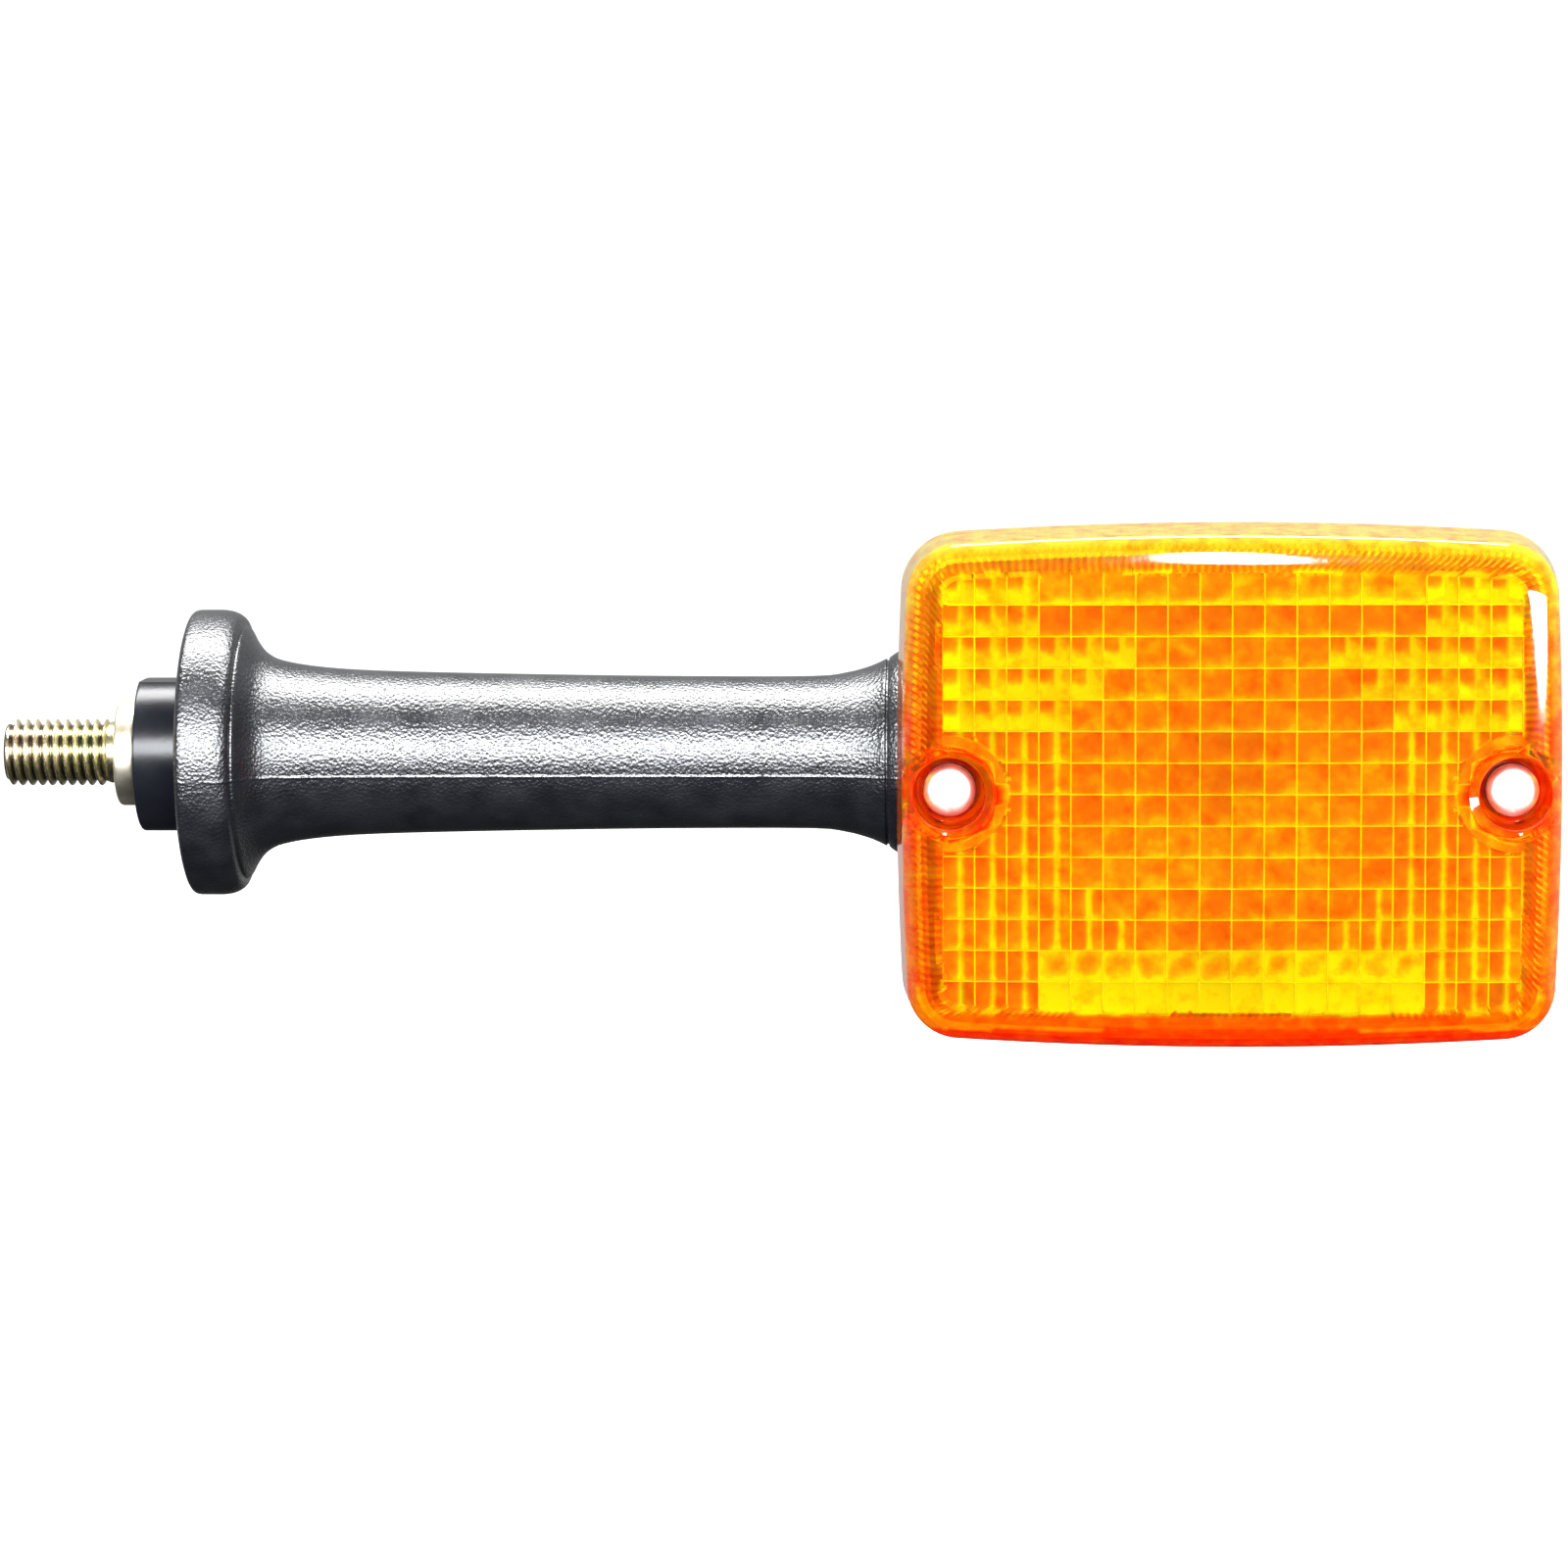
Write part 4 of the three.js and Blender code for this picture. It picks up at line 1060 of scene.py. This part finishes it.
# ---- screws and seals ----
def make_pan_screw(top, head_radius, head_height, shank, length, place):
    """A pan-head screw with a cross recess and a thread."""
    base = top + head_height
    dome = [(0, top), (head_radius * 0.55, top + 0.03), (head_radius * 0.78, top + head_height * 0.09),
            (head_radius * 0.92, top + head_height * 0.24), (head_radius * 0.985, top + head_height * 0.46),
            (head_radius, top + head_height * 0.62), (head_radius, base - 0.15),
            (head_radius - 0.15, base), (0, base)]
    head = turned("head", dome, place, 72)
    neck = rod("neck", shank - 0.35, base - 0.4, base + 1.2, place)
    thread = threaded("thread", shank, 0.35 * shank, base + 0.9, base + length, 48, 0.2, place)
    screw = join(head, neck, thread, crease=40)
    reach, width, depth = head_radius * 0.55, head_radius * 0.13, head_height * 0.55
    tools = []
    for long_x, long_z in ((reach, width), (width, reach)):
        x, _, z = place(0, 0, 0)
        tools.append(block("slot", (x - long_x, top - 1, z - long_z), (x + long_x, top + depth, z + long_z)))
    tools.append(turned("cone", [
        (0, top - 1), (head_radius * 0.3, top - 0.2), (head_radius * 0.2, top + depth * 0.8),
        (0, top + depth + 0.1),
    ], place, 48))
    return cut(screw, *tools, crease=35)


SEAL_FRONT, SEAL_BACK = -26.3, -25.5
seal_profile = [(2.35, SEAL_FRONT), (3.9, SEAL_FRONT), (3.9, SEAL_BACK), (2.35, SEAL_BACK)]
for side, label in ((-1, "left"), (1, "right")):
    place = in_lamp(side * WELL_X)
    piece(make_pan_screw(-29, 3.8, 2.4, 2.0, 12, place), label + "_pan_screw", SCREW_STEEL, "bright_steel",
          label + "_screw", "lens_screw_" + label)
    seal = turned("seal", softened(seal_profile, 0.3), place, 72)
    piece(seal, label + "_seal_ring", SOFT_BLACK, "black_rubber", label + "_seal", "screw_seal_" + label)


# ---- bulb and contact spring ----
def make_glass():
    """The bulb's envelope: a thin round glass narrowing to the neck held in the cap."""
    def arc(radius, start, end):
        return [(max(radius * math.cos(angle), 0), -17.5 + radius * math.sin(angle))
                for angle in np.linspace(start, end, 28)]

    wall = 0.8
    shoulder = [(9.6, -8.9), (8.4, -6.6), (7.4, -4.8), (6.85, -3.2), (6.6, -1), (6.6, 2)]
    outside = arc(12.5, -math.pi / 2, math.pi / 5) + shoulder + [(6.6, 5.5)]
    inside = [(6.6 - wall, 5.5)] + [(r - wall, y) for r, y in reversed(shoulder)]
    return turned("glass", outside + inside + arc(12.5 - wall, math.pi / 5, -math.pi / 2), in_lamp(), 96, 50)


def make_mount():
    """The pressed glass mount: a stem that flares out to the neck's wall."""
    return turned("mount", [
        (0, -8.5), (1.1, -8.4), (1.6, -8.1), (1.85, -7), (2, -5.5), (2.3, -3.6), (2.9, -1.9), (3.9, -0.6),
        (5.1, 0.1), (5.45, 0.5), (5.5, 1.1), (5.3, 5.5), (0, 5.5),
    ], in_lamp(), 72, 50)


def make_cap():
    """The bulb's brass cap, with a rolled bead and a crimped rim."""
    return turned("cap", [
        (7.1, 1), (7.35, 1.05), (7.5, 1.3), (7.5, 4.6), (7.25, 4.9), (7.25, 5.5), (7.5, 5.8), (7.5, 15.3),
        (7.35, 15.8), (6.9, 16.5), (6.6, 16.5), (6.9, 15.5), (7.1, 14.9), (7.1, 5.9), (6.9, 5.6), (6.9, 4.8),
        (7.1, 4.5), (7.1, 1),
    ], in_lamp(), 96, 25)


def make_coil():
    """The contact's spring, with its end turns closed."""
    low, high = extent("contact_spring")
    wire = 0.42
    turns = 3.5
    count = 150
    path = []
    for i in range(count + 1):
        t = i / count
        angle = 2 * math.pi * turns * t
        rise = min(max((t - 0.12) / 0.76, 0), 1)
        y = low.y + wire + 0.02 + (high.y - low.y - 2 * wire - 0.04) * (0.12 * t + 0.88 * rise)
        path.append((LAMP_X + 5.4 * math.cos(angle), y, LAMP_Z + 5.4 * math.sin(angle)))
    return tube("coil", path, wire, 14)


piece(make_glass(), "bulb_envelope", GLASS, "clear_glass", "bulb", "bulb_glass")
piece(make_mount(), "bulb_mount", MILKY, "clear_glass", "bulb", "glass_mount")
piece(make_cap(), "bulb_cap", BRASS, "brass", "bulb", "bulb_base")
coil = piece(make_coil(), "contact_coil", STEEL, "bright_steel", "head", "contact_spring")
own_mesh(coil)


# ---- carried-over CAD pieces ----
CARRIED = (
    (STEEL, ("flange_plate", "stem_insert", "stem_washer", "stem_nut", "socket_bracket", "bracket_screw_left",
             "bracket_screw_right", "bulb_contact")),
    (BRASS, ("socket_shell", "ground_tab", "contact_tip", "bulb_pin_upper", "bulb_pin_lower")),
    (SOFT_BLACK, ("lead_grommet",)),
    (PHENOLIC, ("contact_disc", "bulb_insulator")),
    (TUNGSTEN, ("filament_support_left", "filament_support_right", "filament")),
)
for finish, nodes in CARRIED:
    for node in nodes:
        coat(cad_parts[node], finish)


# ---- stage, lights and camera ----
def softbox(name, location, target, width, height, power, shape="RECTANGLE"):
    data = bpy.data.lights.new(name, "AREA")
    data.shape = shape
    data.size = width
    data.size_y = height
    data.energy = power
    light = bpy.data.objects.new(name, data)
    light.location = location
    light.rotation_euler = (Vector(target) - Vector(location)).to_track_quat("-Z", "Y").to_euler()
    scene.collection.objects.link(light)
    return light


def make_floor():
    size = 6.0
    depth = (LENS_LOW.z - 160) * MM
    mesh = bpy.data.meshes.new("floor")
    mesh.from_pydata([(-size, -size, depth), (size, -size, depth), (size, size, depth), (-size, size, depth)],
                     [], [(0, 1, 2, 3)])
    floor = bpy.data.objects.new("floor", mesh)
    scene.collection.objects.link(floor)
    floor.data.materials.append(material("pale_floor", Base_Color=(0.9, 0.9, 0.9, 1), Roughness=0.9)[0])
    floor.visible_glossy = False
    floor.visible_transmission = False
    floor.visible_diffuse = False


def make_world():
    """A white room with a dark front: white behind the object, dim in reflections of the camera's side."""
    world = bpy.data.worlds.new("studio")
    world.use_nodes = True
    tree = world.node_tree
    tree.nodes.clear()
    split = add(tree, "SeparateXYZ")
    tree.links.new(add(tree, "TexCoord").outputs["Generated"], split.inputs[0])
    ahead, height = (spread(tree, split.outputs[axis], 0, 1, -1, 1) for axis in "YZ")
    reflected = ramp(tree, ahead, [(0.0, 0.03), (0.46, (0.12, 0.12, 0.125)), (0.62, 0.6), (0.8, 0.55)])
    floor_shade = ramp(tree, height, [(0.0, 0.04), (0.28, 0.08), (0.45, 1)])
    through = ramp(tree, height, [(0.0, 0.45), (0.5, 0.62), (0.8, 1)])
    rays = add(tree, "LightPath").outputs
    strength = total(
        tree, scaled(tree, rays["Is Camera Ray"], 1.2), scaled(tree, rays["Is Diffuse Ray"], 1.2),
        scaled(tree, rays["Is Glossy Ray"], scaled(tree, reflected, floor_shade)),
        scaled(tree, rays["Is Transmission Ray"], scaled(tree, through, 3.5)),
    )
    background = add(tree, "Background", Color=(1, 1, 1, 1))
    tree.links.new(strength, background.inputs["Strength"])
    tree.links.new(background.outputs[0], add(tree, "OutputWorld").inputs[0])
    scene.world = world


def aim(light, *objects, state):
    """Links a light to the objects (INCLUDE) or keeps it off them (EXCLUDE)."""
    receivers = bpy.data.collections.new(light.name + "_receivers")
    for obj in objects:
        receivers.objects.link(obj)
    for entry in receivers.collection_objects:
        entry.light_linking.link_state = state
    light.light_linking.receiver_collection = receivers


make_floor()
make_world()
TARGET = (0.09, 0, 0)
aim(softbox("overhead", (0.09, 0.15, 0.85), TARGET, 1.3, 0.34, 68), lens, state="EXCLUDE")
front = softbox("front", (0.05, -1.12, 0.25), TARGET, 2.6, 0.42, 215)
front.data.color = (0.94, 0.97, 1.0)
aim(front, lens, state="EXCLUDE")
lens_top = softbox("lens_top", (0.186, -0.75, 0.60), (LAMP_X * MM, -0.033, 0.031), 0.07, 0.74, 5, "ELLIPSE")
lens_side = softbox("lens_side", (0.75, -0.60, 0.012), (0.2, -0.03, 0.016), 0.9, 0.12, 11, "ELLIPSE")
lens_back = softbox("lens_back", (0.157, 0.55, 0.57), (LAMP_X * MM, -0.033, 0.035), 0.3, 0.05, 3.2)
for light in (lens_top, lens_side, lens_back):
    light.visible_transmission = False
    aim(light, lens, state="INCLUDE")

VIEW_DOWN, VIEW_TURN, VIEW_ROLL = (math.radians(angle) for angle in (5.580, 2.585, -0.239))
camera_data = bpy.data.cameras.new("camera")
camera_data.lens = 128.1
camera_data.sensor_width = 36
camera = bpy.data.objects.new("camera", camera_data)
camera.location = (0.1263, -0.8302, 0.0764)
facing = Euler((math.pi / 2 - VIEW_DOWN, 0, VIEW_TURN)).to_matrix()
camera.rotation_euler = (facing @ Matrix.Rotation(VIEW_ROLL, 3, "Z")).to_euler()
scene.collection.objects.link(camera)
scene.camera = camera

scene.view_settings.view_transform = "Standard"
scene.cycles.sample_clamp_indirect = 4
scene.cycles.max_bounces = 20
scene.cycles.glossy_bounces = 10
scene.cycles.transmission_bounces = 16

bpy.context.view_layer.update()
